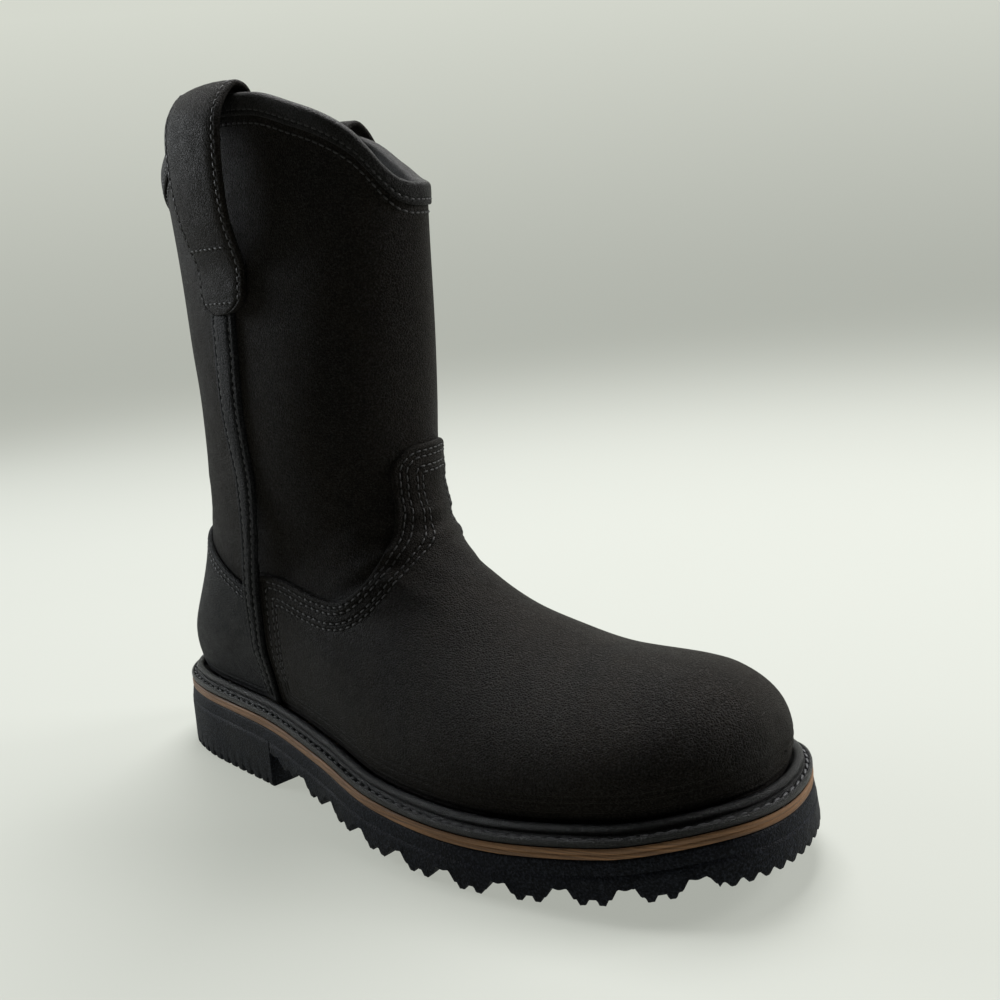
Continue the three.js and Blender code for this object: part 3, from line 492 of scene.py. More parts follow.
def panel(region, profile, inner, soft=True, collect=()):
    """A closed sheet over the form where region(p) > 0.

    region gives the distance in from the edge of the panel, in millimetres. profile is a list of
    (distance, offset) pairs for the outer face; between them the face is straight, so bevels and
    stitch grooves are part of the mesh. inner is the offset of the inner face. The lines at the
    distances in collect come back as chains of (t, r).
    """
    field = region(GRID_P)
    cuts = sorted({0.0, *[d for d, _ in profile if d > 0], *collect})
    distances, offsets = (np.array(column) for column in zip(*profile))
    nt, nr = field.shape
    verts_t, verts_r, verts_d, index = [], [], [], {}

    def vertex(key, t, r, d):
        if key not in index:
            index[key] = len(verts_t)
            verts_t.append(t)
            verts_r.append(r)
            verts_d.append(d)
        return index[key]

    faces = []
    chains = {c: [] for c in collect}
    corner = [(0, 0), (1, 0), (1, 1), (0, 1)]
    f00 = field[:-1, :]
    f10 = field[1:, :]
    f01 = np.roll(field, -1, 1)[:-1, :]
    f11 = np.roll(field, -1, 1)[1:, :]
    low = np.minimum(np.minimum(f00, f10), np.minimum(f01, f11))
    high = np.maximum(np.maximum(f00, f10), np.maximum(f01, f11))
    for i in range(nt - 1):
        for j in range(nr):
            if high[i, j] <= 0:
                continue
            quad = []
            for di, dj in corner:
                a, b = i + di, (j + dj) % nr
                quad.append(((a, b), T_LINE[a], (j + dj) / nr, field[a, b]))
            crossing = [c for c in cuts if low[i, j] < c < high[i, j]]
            pieces = [quad]
            for c in crossing:
                split = []
                for poly in pieces:
                    below, above = [], []
                    line = []
                    n = len(poly)
                    for k in range(n):
                        p, q = poly[k], poly[(k + 1) % n]
                        (below if p[3] < c else above).append(p)
                        if p[3] == c:
                            below.append(p)
                        if (p[3] < c) != (q[3] < c) and p[3] != c and q[3] != c:
                            u = (c - p[3]) / (q[3] - p[3])
                            key = (c, min(p[0], q[0], key=str), max(p[0], q[0], key=str))
                            new = (key, p[1] + u * (q[1] - p[1]), p[2] + u * (q[2] - p[2]), c)
                            below.append(new)
                            above.append(new)
                            line.append(new)
                    if len(line) == 2 and c in chains:
                        chains[c].append((line[0], line[1]))
                    if len(below) > 2:
                        split.append(below)
                    if len(above) > 2:
                        split.append(above)
                pieces = split
            for poly in pieces:
                if sum(p[3] for p in poly) / len(poly) > 0:
                    faces.append([vertex(p[0], p[1], p[2], p[3]) for p in poly])
    t = np.array(verts_t)
    r = np.array(verts_r)
    d = np.array(verts_d)
    outer_offset = np.interp(d, distances, offsets)
    base = form(t, r)
    n = normals(t, r)
    lift = softness(base) if soft else np.zeros(len(t))
    if callable(inner):
        inner_offset = inner(base)
        outer_offset = outer_offset + inner_offset
    else:
        inner_offset = np.full(len(t), float(inner))
    outside = base + n * (outer_offset + lift)[:, None]
    inside = base + n * inner_offset[:, None]
    count = len(t)
    edges = {}
    for face in faces:
        for k in range(len(face)):
            a, b = face[k], face[(k + 1) % len(face)]
            edges[(a, b)] = True
    walls = [[b, a, a + count, b + count] for (a, b) in edges if (b, a) not in edges]
    all_faces = faces + [[v + count for v in reversed(face)] for face in faces] + walls
    vertices = np.vstack([outside, inside])
    return vertices, all_faces, {c: chain(v) for c, v in chains.items()}


def chain(segments):
    """Joins segments of (key, t, r, d) ends into lines of (t, r)."""
    nodes, links = {}, {}
    for a, b in segments:
        for p, q in ((a, b), (b, a)):
            nodes[p[0]] = (p[1], p[2])
            links.setdefault(p[0], []).append(q[0])
    lines, seen = [], set()
    starts = [k for k, v in links.items() if len(v) == 1] + list(links)
    for s in starts:
        if s in seen:
            continue
        line, here = [s], s
        seen.add(s)
        while True:
            following = [k for k in links[here] if k not in seen]
            if not following:
                break
            here = following[0]
            seen.add(here)
            line.append(here)
        if len(line) > 3:
            pts = np.array([nodes[k] for k in line])
            pts[:, 1] = np.unwrap(pts[:, 1] * 2 * math.pi) / (2 * math.pi)
            lines.append(pts)
    return lines


def stitch(builder, centre, along, normal, length, width, height):
    """One stitch: a low capsule that dives into the leather at both ends."""
    side = np.cross(normal, along)
    rings = []
    for u, w, h in ((-0.5, 0.45, -0.5), (-0.36, 0.85, 0.25), (0, 1, 0.5), (0.36, 0.85, 0.25),
                    (0.5, 0.45, -0.5)):
        ring_points = []
        for k in range(6):
            a = 2 * math.pi * k / 6
            ring_points.append(
                centre
                + along * (u * length)
                + side * (math.cos(a) * width * 0.5 * w)
                + normal * (math.sin(a) * height * 0.5 * w + h * height * 0.6)
            )
        rings.append(ring_points)
    builder.grid(rings)


def run_along(points):
    """Distance along a line at each of its points."""
    return np.concatenate([[0], np.cumsum(np.linalg.norm(np.diff(points, axis=0), axis=1))])


def sample(at, run, values):
    """Values given at the points of a line, read at a distance along it."""
    return np.array([np.interp(at, run, values[:, i]) for i in range(3)])


def stitch_line(builder, line, offset, pitch=3.3, length=2.5, width=0.75, height=0.55, soft=True):
    """Stitches along a line of (t, r) on the form."""
    t = np.interp(np.linspace(0, 1, 6 * len(line)), np.linspace(0, 1, len(line)), line[:, 0])
    r = np.interp(np.linspace(0, 1, 6 * len(line)), np.linspace(0, 1, len(line)), line[:, 1])
    lift = offset(form(t, r)) if callable(offset) else np.full(len(t), float(offset))
    p = point_at(t, r, lift, soft)
    n = normals(t, r)
    s = run_along(p)
    count = int(s[-1] / pitch)
    if count < 1:
        return
    for k in range(count):
        at = (k + 0.5) * pitch
        centre, normal = sample(at, s, p), sample(at, s, n)
        along = sample(at + 1, s, p) - sample(at - 1, s, p)
        along = along / max(np.linalg.norm(along), 1e-6)
        normal = normal - along * (normal @ along)
        normal = normal / max(np.linalg.norm(normal), 1e-6)
        stitch(builder, centre, along, normal, length, width, height)


# ---- materials ----
def shade(colour, share):
    """A colour made lighter or darker by a share."""
    return tuple(c * share for c in colour)


class Nodes:
    """A small helper to write a material's nodes."""

    def __init__(self, name, base, rough, metallic=0.0, specular=0.5):
        self.material = bpy.data.materials.new(name)
        self.material.use_nodes = True
        self.tree = self.material.node_tree
        self.shader = self.tree.nodes["Principled BSDF"]
        self.shader.inputs["Base Color"].default_value = (*base, 1)
        self.shader.inputs["Roughness"].default_value = rough
        self.shader.inputs["Metallic"].default_value = metallic
        self.shader.inputs["Specular IOR Level"].default_value = specular
        self.coord = self.add("ShaderNodeTexCoord").outputs["Object"]
        self.last_bump = None

    def add(self, kind, **values):
        node = self.tree.nodes.new(kind)
        for key, value in values.items():
            setattr(node, key, value)
        return node

    def link(self, a, b):
        self.tree.links.new(a, b)

    def scaled(self, sx, sy, sz):
        m = self.add("ShaderNodeMapping")
        m.inputs["Scale"].default_value = (sx, sy, sz)
        self.link(self.coord, m.inputs["Vector"])
        return m.outputs["Vector"]

    def noise(self, scale, detail=4.0, rough=0.55, vector=None):
        n = self.add("ShaderNodeTexNoise")
        n.inputs["Scale"].default_value = scale
        n.inputs["Detail"].default_value = detail
        n.inputs["Roughness"].default_value = rough
        self.link(vector or self.coord, n.inputs["Vector"])
        return n.outputs["Fac"]

    def voronoi(self, scale, feature="F1"):
        n = self.add("ShaderNodeTexVoronoi", feature=feature)
        n.inputs["Scale"].default_value = scale
        self.link(self.coord, n.inputs["Vector"])
        return n.outputs["Distance"]

    def ramp(self, value, stops):
        n = self.add("ShaderNodeValToRGB")
        e = n.color_ramp.elements
        for k, (at, colour) in enumerate(stops):
            item = e[k] if k < 2 else e.new(at)
            item.position = at
            item.color = (*colour, 1) if len(colour) == 3 else colour
        self.link(value, n.inputs["Fac"])
        return n.outputs["Color"]

    def grey(self, value, low, high, a=0.0, b=1.0):
        n = self.add("ShaderNodeMapRange")
        n.inputs["From Min"].default_value = low
        n.inputs["From Max"].default_value = high
        n.inputs["To Min"].default_value = a
        n.inputs["To Max"].default_value = b
        self.link(value, n.inputs["Value"])
        return n.outputs["Result"]

    def mix(self, factor, a, b, mode="MIX"):
        n = self.add("ShaderNodeMix", data_type="RGBA", blend_type=mode)
        for socket, value in ((n.inputs[0], factor), (n.inputs[6], a), (n.inputs[7], b)):
            if hasattr(value, "links"):
                self.link(value, socket)
            elif isinstance(value, (int, float)):
                socket.default_value = value
            else:
                socket.default_value = (*value, 1)
        return n.outputs[2]

    def math(self, operation, a, b=0.0):
        n = self.add("ShaderNodeMath", operation=operation)
        for socket, value in zip(n.inputs, (a, b)):
            if hasattr(value, "links"):
                self.link(value, socket)
            else:
                socket.default_value = value
        return n.outputs[0]

    def bump(self, height, strength, distance):
        n = self.add("ShaderNodeBump")
        n.inputs["Strength"].default_value = strength
        n.inputs["Distance"].default_value = distance
        self.link(height, n.inputs["Height"])
        if self.last_bump:
            self.link(self.last_bump, n.inputs["Normal"])
        self.last_bump = n.outputs["Normal"]

    def done(self, colour=None, rough=None):
        if colour:
            self.link(colour, self.shader.inputs["Base Color"])
        if rough:
            self.link(rough, self.shader.inputs["Roughness"])
        if self.last_bump:
            self.link(self.last_bump, self.shader.inputs["Normal"])
        return self.material


def leather(name, base, light, rough=0.6, grain=1.0, sheen=0.02, pull=1.0, specular=0.09):
    """Oiled nubuck: a fine pebble grain, pores, cloudy oil marks and paler high places, with painted shade
    along the grain's cell borders and painted highlight and shade specks on the grain.
    """
    n = Nodes(name, base, rough, specular=specular)
    n.shader.inputs["Sheen Weight"].default_value = sheen
    n.shader.inputs["Sheen Roughness"].default_value = 0.45
    n.shader.inputs["Sheen Tint"].default_value = (0.62, 0.6, 0.58, 1)
    cells = n.voronoi(1050 * grain, "DISTANCE_TO_EDGE")
    fine = n.noise(2600 * grain, 3, 0.6)
    pores = n.noise(700 * grain, 6, 0.7)
    cloud = n.noise(17, 5, 0.6)
    streak = n.noise(60, 4, 0.65, n.scaled(1.0, 1.0, 0.35))
    scuff = n.noise(190, 5, 0.75)
    edge_cells = n.grey(cells, 0.0, 0.22)
    tone = n.mix(n.grey(cloud, 0.34, 0.68), base, light)
    tone = n.mix(n.grey(streak, 0.42, 0.72, 0.0, 0.5), tone, shade(light, 1.55))
    tone = n.mix(n.grey(scuff, 0.6, 0.78, 0.0, 0.35), tone, shade(light, 2.3))
    # Painted shade: the cell borders of the grain are darkened, as if shade fell into the hollows between
    # the pebbles.
    tone = n.mix(n.grey(edge_cells, 0.0, 1.0, 0.5, 0.0), tone, shade(base, 0.25))
    # Painted highlight and painted shade: lighter and darker specks stand in for light and shade on the
    # grain's pebbles.
    speck = n.noise(1400 * grain, 3, 0.6)
    tone = n.mix(n.grey(speck, 0.5, 0.66, 0.0, 0.8), tone, tuple(0.45 * c + 2.1 * light[1] for c in light))
    tone = n.mix(n.grey(speck, 0.5, 0.36, 0.0, 0.8), tone, shade(base, 0.2))
    n.bump(cloud, 0.25 * pull, 0.0012)
    n.bump(streak, 0.35 * pull, 0.0005)
    n.bump(edge_cells, 0.9, 0.0004)
    n.bump(pores, 0.8, 0.0005)
    n.bump(fine, 0.35, 0.00014)
    shine = n.math("ADD", n.grey(cloud, 0.3, 0.7, rough - 0.09, rough + 0.06),
                   n.grey(scuff, 0.45, 0.75, 0.0, 0.12))
    return n.done(tone, shine)


def rubber(name, base):
    n = Nodes(name, base, 0.62, specular=0.09)
    grain = n.voronoi(1500, "F1")
    fine = n.noise(2400, 3, 0.6)
    cloud = n.noise(35, 5, 0.6)
    dust = n.noise(240, 6, 0.75)
    tone = n.mix(n.grey(cloud, 0.35, 0.7), base, shade(base, 1.7))
    tone = n.mix(n.grey(dust, 0.6, 0.74, 0.0, 0.42), tone, (0.022, 0.023, 0.027))
    speck = n.noise(1100, 2, 0.6)
    tone = n.mix(n.grey(speck, 0.5, 0.68, 0.0, 0.7), tone, (0.022, 0.025, 0.034))
    tone = n.mix(n.grey(speck, 0.5, 0.36, 0.0, 0.7), tone, shade(base, 0.2))
    n.bump(grain, 0.7, 0.0003)
    n.bump(fine, 0.3, 0.00012)
    n.bump(dust, 0.2, 0.00025)
    return n.done(tone, n.grey(cloud, 0.3, 0.7, 0.54, 0.68))


def woven(name, base, pitch, rough=0.9, contrast=0.45):
    n = Nodes(name, base, rough, specular=0.2)
    waves = []
    for direction in ("X", "Y", "Z"):
        w = n.add("ShaderNodeTexWave", wave_type="BANDS", bands_direction=direction)
        w.inputs["Scale"].default_value = 1 / pitch / 3.2
        w.inputs["Distortion"].default_value = 0.6
        w.inputs["Detail"].default_value = 1.0
        n.link(n.coord, w.inputs["Vector"])
        waves.append(w.outputs["Fac"])
    weave = n.math("MULTIPLY", n.math("ADD", waves[0], waves[1]), waves[2])
    fuzz = n.noise(1500, 4, 0.7)
    cloud = n.noise(28, 4, 0.6)
    tone = n.mix(n.grey(weave, 0.2, 1.4, 0.0, contrast), shade(base, 0.55), base)
    tone = n.mix(n.grey(fuzz, 0.35, 0.7, 0.0, 0.5), tone, tuple(min(c * 1.35, 1) for c in base))
    tone = n.mix(n.grey(cloud, 0.35, 0.7, 0.0, 0.35), tone, shade(base, 0.7))
    n.bump(weave, 0.5, 0.0003)
    n.bump(fuzz, 0.4, 0.0002)
    return n.done(tone)


def speckled(name, base, dark, scale, rough=0.85):
    n = Nodes(name, base, rough, specular=0.25)
    cells = n.voronoi(scale, "F1")
    fine = n.noise(scale * 3, 5, 0.7)
    tone = n.mix(n.grey(cells, 0.15, 0.75), base, dark)
    tone = n.mix(n.grey(fine, 0.45, 0.75, 0.0, 0.6), tone, shade(dark, 0.6))
    n.bump(cells, 0.5, 0.0004)
    n.bump(fine, 0.3, 0.0002)
    return n.done(tone)


def steel_material():
    n = Nodes("bare_steel", (0.5, 0.51, 0.53), 0.36, metallic=1.0)
    brushed = n.noise(420, 4, 0.6, n.scaled(0.05, 1, 1))
    cloud = n.noise(24, 5, 0.6)
    tone = n.mix(n.grey(cloud, 0.35, 0.7), (0.42, 0.43, 0.45), (0.6, 0.61, 0.62))
    n.bump(brushed, 0.2, 0.0001)
    return n.done(tone, n.grey(brushed, 0.3, 0.7, 0.28, 0.46))


def midsole_material():
    """A tan stacked edge: thin layers and darker burnished streaks."""
    n = Nodes("tan_stacked_midsole", (0.24, 0.145, 0.08), 0.55, specular=0.4)
    layers = n.noise(150, 3, 0.5, n.scaled(0.12, 0.12, 14))
    streak = n.noise(60, 6, 0.7, n.scaled(1, 1, 3))
    fine = n.noise(1400, 4, 0.7)
    tone = n.mix(n.grey(layers, 0.35, 0.65), (0.085, 0.038, 0.014), (0.25, 0.12, 0.044))
    tone = n.mix(n.grey(streak, 0.4, 0.7, 0.0, 0.6), tone, (0.11, 0.054, 0.022))
    tone = n.mix(n.grey(fine, 0.5, 0.75, 0.0, 0.35), tone, (0.3, 0.17, 0.085))
    n.bump(layers, 0.5, 0.0003)
    n.bump(fine, 0.3, 0.00012)
    return n.done(tone, n.grey(streak, 0.3, 0.7, 0.48, 0.66))


def thread_material(name, base):
    n = Nodes(name, base, 0.55, specular=0.45)
    ply = n.noise(2600, 2, 0.5, n.scaled(1, 1, 0.6))
    cloud = n.noise(80, 4, 0.6)
    tone = n.mix(n.grey(ply, 0.35, 0.7), shade(base, 0.6), shade(base, 1.5))
    tone = n.mix(n.grey(cloud, 0.4, 0.7, 0.0, 0.5), tone, shade(base, 0.8))
    n.bump(ply, 0.6, 0.0002)
    return n.done(tone)


BLACK = leather("oiled_nubuck", (0.0036, 0.0027, 0.0018), (0.0115, 0.0088, 0.0062), specular=0.07)
COOL = leather("trim_nubuck", (0.0034, 0.0037, 0.0045), (0.0095, 0.0102, 0.0122))
FOLD = leather("binding_leather", (0.006, 0.0056, 0.0054), (0.015, 0.014, 0.0132), 0.52, 1.2)
WELT_BLACK = leather("welt_leather", (0.003, 0.0031, 0.0034), (0.008, 0.0082, 0.009), 0.34, 1.3,
                     0.0, 0.3, 0.27)
RUBBER = rubber("black_rubber", (0.0036, 0.0043, 0.0066))
TAN = midsole_material()
THREAD = thread_material("black_thread", (0.02, 0.0192, 0.0196))
WELT_THREAD = thread_material("waxed_grey_thread", (0.03, 0.031, 0.033))
CANVAS = woven("rib_canvas", (0.62, 0.54, 0.41), 0.0012)
CORK = speckled("cork_paste", (0.5, 0.33, 0.17), (0.28, 0.17, 0.09), 320)
STEEL = steel_material()
BOARD = speckled("fibre_board", (0.5, 0.41, 0.29), (0.4, 0.31, 0.2), 700)
FOAM = woven("footbed_knit", (0.05, 0.052, 0.06), 0.0014)
STRIP = rubber("edge_strip_rubber", (0.05, 0.05, 0.052))
FELT = speckled("interlining_felt", (0.55, 0.51, 0.44), (0.45, 0.41, 0.35), 900, 0.95)
KNIT = woven("lining_knit", (0.1, 0.08, 0.062), 0.0013)

for node, material in (
    ("insole_rib", CANVAS), ("cork_filler", CORK), ("steel_shank", STEEL), ("insole_board", BOARD),
    ("heel_counter", BOARD), ("steel_toe_cap", STEEL), ("toe_cap_edge", STRIP),
    ("vamp_interlining", FELT),
):
    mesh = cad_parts[node].data
    mesh.materials.clear()
    mesh.materials.append(material)

# ---- regions: the distance in from each panel's edge ----
OUT0, OUT1 = GAP / 2, GAP / 2 + LEATHER
MID0, MID1 = -GAP / 2 - LEATHER, -GAP / 2
LIN1 = MID0 - GAP
LIN0 = LIN1 - LINING
TAB_SHIFT = 4.0


def polyline_distance(x, z, line):
    """Signed distance to a line in the side view, positive under and behind it."""
    best = np.full(x.shape, 1e9)
    sign = np.ones(x.shape)
    for (x0, z0), (x1, z1) in zip(line[:-1], line[1:]):
        dx, dz = x1 - x0, z1 - z0
        u = np.clip(((x - x0) * dx + (z - z0) * dz) / (dx * dx + dz * dz), 0, 1)
        ex, ez = x - x0 - u * dx, z - z0 - u * dz
        d = np.hypot(ex, ez)
        s = np.where(dx * ez - dz * ex > 0, -1.0, 1.0)
        sign = np.where(d < best - 1e-9, s, sign)
        best = np.minimum(best, d)
    return best * sign


def soft_max(a, b, k):
    """The larger of two fields, with a fillet of size k between them."""
    h = np.clip(0.5 + 0.5 * (a - b) / k, 0, 1)
    return b + (a - b) * h + k * h * (1 - h)


def vamp_region(p, grow=0.0, back=None):
    x, y, z = p[..., 0], p[..., 1], p[..., 2]
    line = spline(
        [
            (seam_x - 40, heel_seat + 61), (seam_x - 14, heel_seat + 60.5),
            (seam_x + 12, heel_seat + 59), (seam_x + 30, heel_seat + 54.5),
            (seam_x + 44, heel_seat + 52.5), (seam_x + 53, heel_seat + 55.5),
            (seam_x + 60, heel_seat + 65), (seam_x + 66, heel_seat + 80),
            (seam_x + 72, heel_seat + 92), (seam_x + 84, heel_seat + 130),
        ],
        54,
    )
    side = polyline_distance(x, z, line)
    half = TAB_WIDTH / 2
    top = heel_seat + TAB_HEIGHT
    corner = 0.6 * half
    dy = np.abs(y - TAB_SHIFT) - (half - corner)
    dz = z - (top - corner)
    box = corner - np.hypot(np.maximum(dy, 0), np.maximum(dz, 0)) - np.minimum(
        np.maximum(dy, dz), 0
    )
    box = np.where(x < seam_x + 25, -50.0, box)
    both = soft_max(side, box, 9.0) + grow
    return np.minimum(both, x - (seam_x + 0.4 if back is None else back))


def cover_line(height):
    front = seam_x - 0.4
    return spline(
        [
            (-60, heel_seat + height), (20, heel_seat + height),
            (0.5 * seam_x, heel_seat + height - 4), (front - 6, heel_seat + 0.72 * height),
            (front, heel_seat + 0.68 * height), (front + 12, heel_seat + 0.6 * height),
        ],
        40,
    )


COVER_LINE = cover_line(COVER_HEIGHT)
UNDER_COVER = cover_line(COVER_HEIGHT - OVERLAP)


def cover_region(p):
    x, z = p[..., 0], p[..., 2]
    return np.minimum(polyline_distance(x, z, COVER_LINE), seam_x - 0.4 - x)


def over_sole(p, height):
    """Height of points over a level that follows the top of the rubber."""
    return p[..., 2] - rubber_top(p[..., 0]) - height


def under_collar(p, room):
    """Distance down from the collar's edge; only meaningful on the shaft."""
    x, y, z = p[..., 0], p[..., 1], p[..., 2]
    s = sections_at(np.clip(index_of(z), ANKLE, TOP))
    middle = (s["bx"] + s["fx"]) / 2
    u = (middle - x) / np.maximum((s["fx"] - s["bx"]) / 2, 1)
    v = -y / np.maximum(s["lateral"], 1)
    r = np.mod(np.arctan2(v, u) / (2 * math.pi), 1)
    return collar_height(r) - room - z


def shaft_region(p, front):
    side = (p[..., 0] - seam_x - 0.15) * (1 if front else -1) - 0.15
    top = under_collar(p, EDGE_ROOM)
    if front:
        bottom = -vamp_region(p, -OVERLAP, -500.0)
        bottom = np.where(p[..., 2] > heel_seat + TAB_HEIGHT + 8, 50, bottom)
    else:
        bottom = -polyline_distance(p[..., 0], p[..., 2], UNDER_COVER)
    return np.minimum(np.minimum(side, top), bottom)


def edge_profile(base, thickness, stitches=(), depth=0.32, width=0.85, round_edge=1.2):
    """A bevelled edge and a shallow groove for each row of stitches."""
    profile = [
        (0, base + 0.35 * thickness),
        (0.25 * round_edge, base + 0.72 * thickness),
        (0.6 * round_edge, base + 0.93 * thickness),
        (round_edge, base + thickness),
    ]
    for d in stitches:
        profile += [
            (d - width, base + thickness),
            (d - 0.4 * width, base + thickness - depth),
            (d + 0.4 * width, base + thickness - depth),
            (d + width, base + thickness),
        ]
    profile.append((1e4, base + thickness))
    return profile


stitches = Builder()

# Vamp: two double rows of stitches follow its edge over the sides and round the tab.
VAMP_ROWS = (2.6, 4.9, 8.6, 10.9)


def vamp_shape(p):
    return np.minimum(vamp_region(p), over_sole(p, SEAT + 1.0))


verts, faces, lines = panel(
    vamp_shape, edge_profile(OUT0, LEATHER, VAMP_ROWS), OUT0, collect=VAMP_ROWS
)
make("vamp_leather", verts, faces, BLACK, ["vamp"])


def keep_above(line, low, x_from=None):
    """The runs of a line that lie over a level above the sole."""
    p = form(line[:, 0], line[:, 1])
    good = over_sole(p, low) > 0
    if x_from is not None:
        good &= p[:, 0] > x_from
    runs, run = [], []
    for k, ok in enumerate(good):
        if ok:
            run.append(k)
        elif run:
            runs.append(run)
            run = []
    if run:
        runs.append(run)
    return [line[r] for r in runs if len(r) > 3]


for row in VAMP_ROWS:
    for line in lines[row]:
        for part in keep_above(line, SEAT + 14, seam_x + 5):
            stitch_line(stitches, part, OUT1 - STITCH_SINK)

COVER_ROWS = (2.4, 4.8)
verts, faces, lines = panel(
    lambda p: np.minimum(cover_region(p), over_sole(p, SEAT + 1.0)),
    edge_profile(OUT0, LEATHER, COVER_ROWS),
    OUT0,
    collect=COVER_ROWS,
)
make("heel_cover_leather", verts, faces, COOL, ["heel_counter_cover"])
for row in COVER_ROWS:
    for line in lines[row]:
        for part in keep_above(line, SEAT + 14):
            q = form(part[:, 0], part[:, 1])
            part = part[q[:, 0] < seam_x - 6]
            if len(part) > 3:
                stitch_line(stitches, part, OUT1 - STITCH_SINK)

for name, front in (("shaft_front", True), ("shaft_back", False)):
    verts, faces, _ = panel(
        lambda p: shaft_region(p, front), edge_profile(MID0, LEATHER, round_edge=0.6), MID0
    )
    make(name + "_leather", verts, faces, BLACK, [name])

# Linings inside the shaft and the foot.
JOINT = heel_seat + 60
for name, region in (
    ("shaft_lining", lambda p: np.minimum(under_collar(p, EDGE_ROOM), p[..., 2] - JOINT - 0.15)),
    ("foot_lining", lambda p: np.minimum(JOINT - 0.15 - p[..., 2], over_sole(p, BOARD_TOP + GAP))),
):
    verts, faces, _ = panel(region, [(0, LIN1), (1e4, LIN1)], LIN0, soft=False)
    make(name + "_knit", verts, faces, KNIT, [name])

# ---- side stays: a strap over each side seam ----
sway = smooth_curve([(20, -4), (50, -3), (85, 1.5), (150, 1), (200, 0)])


def stay_rise(p):
    """The stay lies on the shaft, and lower down on the vamp and the cover."""
    over = np.clip((heel_seat + 100 - p[..., 2]) / 20, 0, 1)
    return GAP / 2 + (OUT1 + GAP - GAP / 2) * over


for side, name in ((-1, "side_stay_lateral"), (1, "side_stay_medial")):
    top_z = float(collar_height(0.25 if side < 0 else 0.75)) - PULL_LENGTH + 3

    def stay_region(p, side=side, top_z=top_z):
        x, y, z = p[..., 0], p[..., 1], p[..., 2]
        half = STAY_WIDTH / 2 * (1 - 0.36 * (1 - step(z, heel_seat + 55, heel_seat + 150)))
        d = half - np.abs(x - seam_x - sway(z - heel_seat))
        d = np.minimum(np.minimum(d, top_z - z), over_sole(p, LIP_TOP + 2 * BEAD + GAP))
        return np.where(y * side > 8, d, -5.0)

    # A folded strap: it swells between its stitched edges.
    swell = [
        (0, 0.5), (0.35, 1.1), (0.8, 1.5), (1.5, 1.55), (2.1, 1.5), (2.45, 1.25), (2.95, 1.25),
        (3.3, 1.65), (4.4, 2.0), (5.8, 2.15), (1e4, 2.2),
    ]
    verts, faces, lines = panel(stay_region, swell, stay_rise, collect=(2.7,))
    make(name + "_strap", verts, faces, COOL, [name])
    for line in lines[2.7]:
        p = form(line[:, 0], line[:, 1])
        for part in np.split(line, np.where(np.abs(np.diff(p[:, 0])) > 3)[0] + 1):
            q = form(part[:, 0], part[:, 1])
            keep = (q[:, 2] < top_z - 4) & (over_sole(q, SEAT + 9) > 0)
            part = part[keep]
            if len(part) > 3:
                stitch_line(stitches, part, lambda s: stay_rise(s) + 1.12)

# ---- pull straps ----
def shaft_y(x, z):
    """Half width of the shaft at a place in the side view."""
    s = sections_at(np.minimum(index_of(z), TOP))
    middle = (s["bx"] + s["fx"]) / 2
    q = (x - middle) / ((s["fx"] - s["bx"]) / 2)
    return s["lateral"] * np.sqrt(np.maximum(1 - q * q, 0))


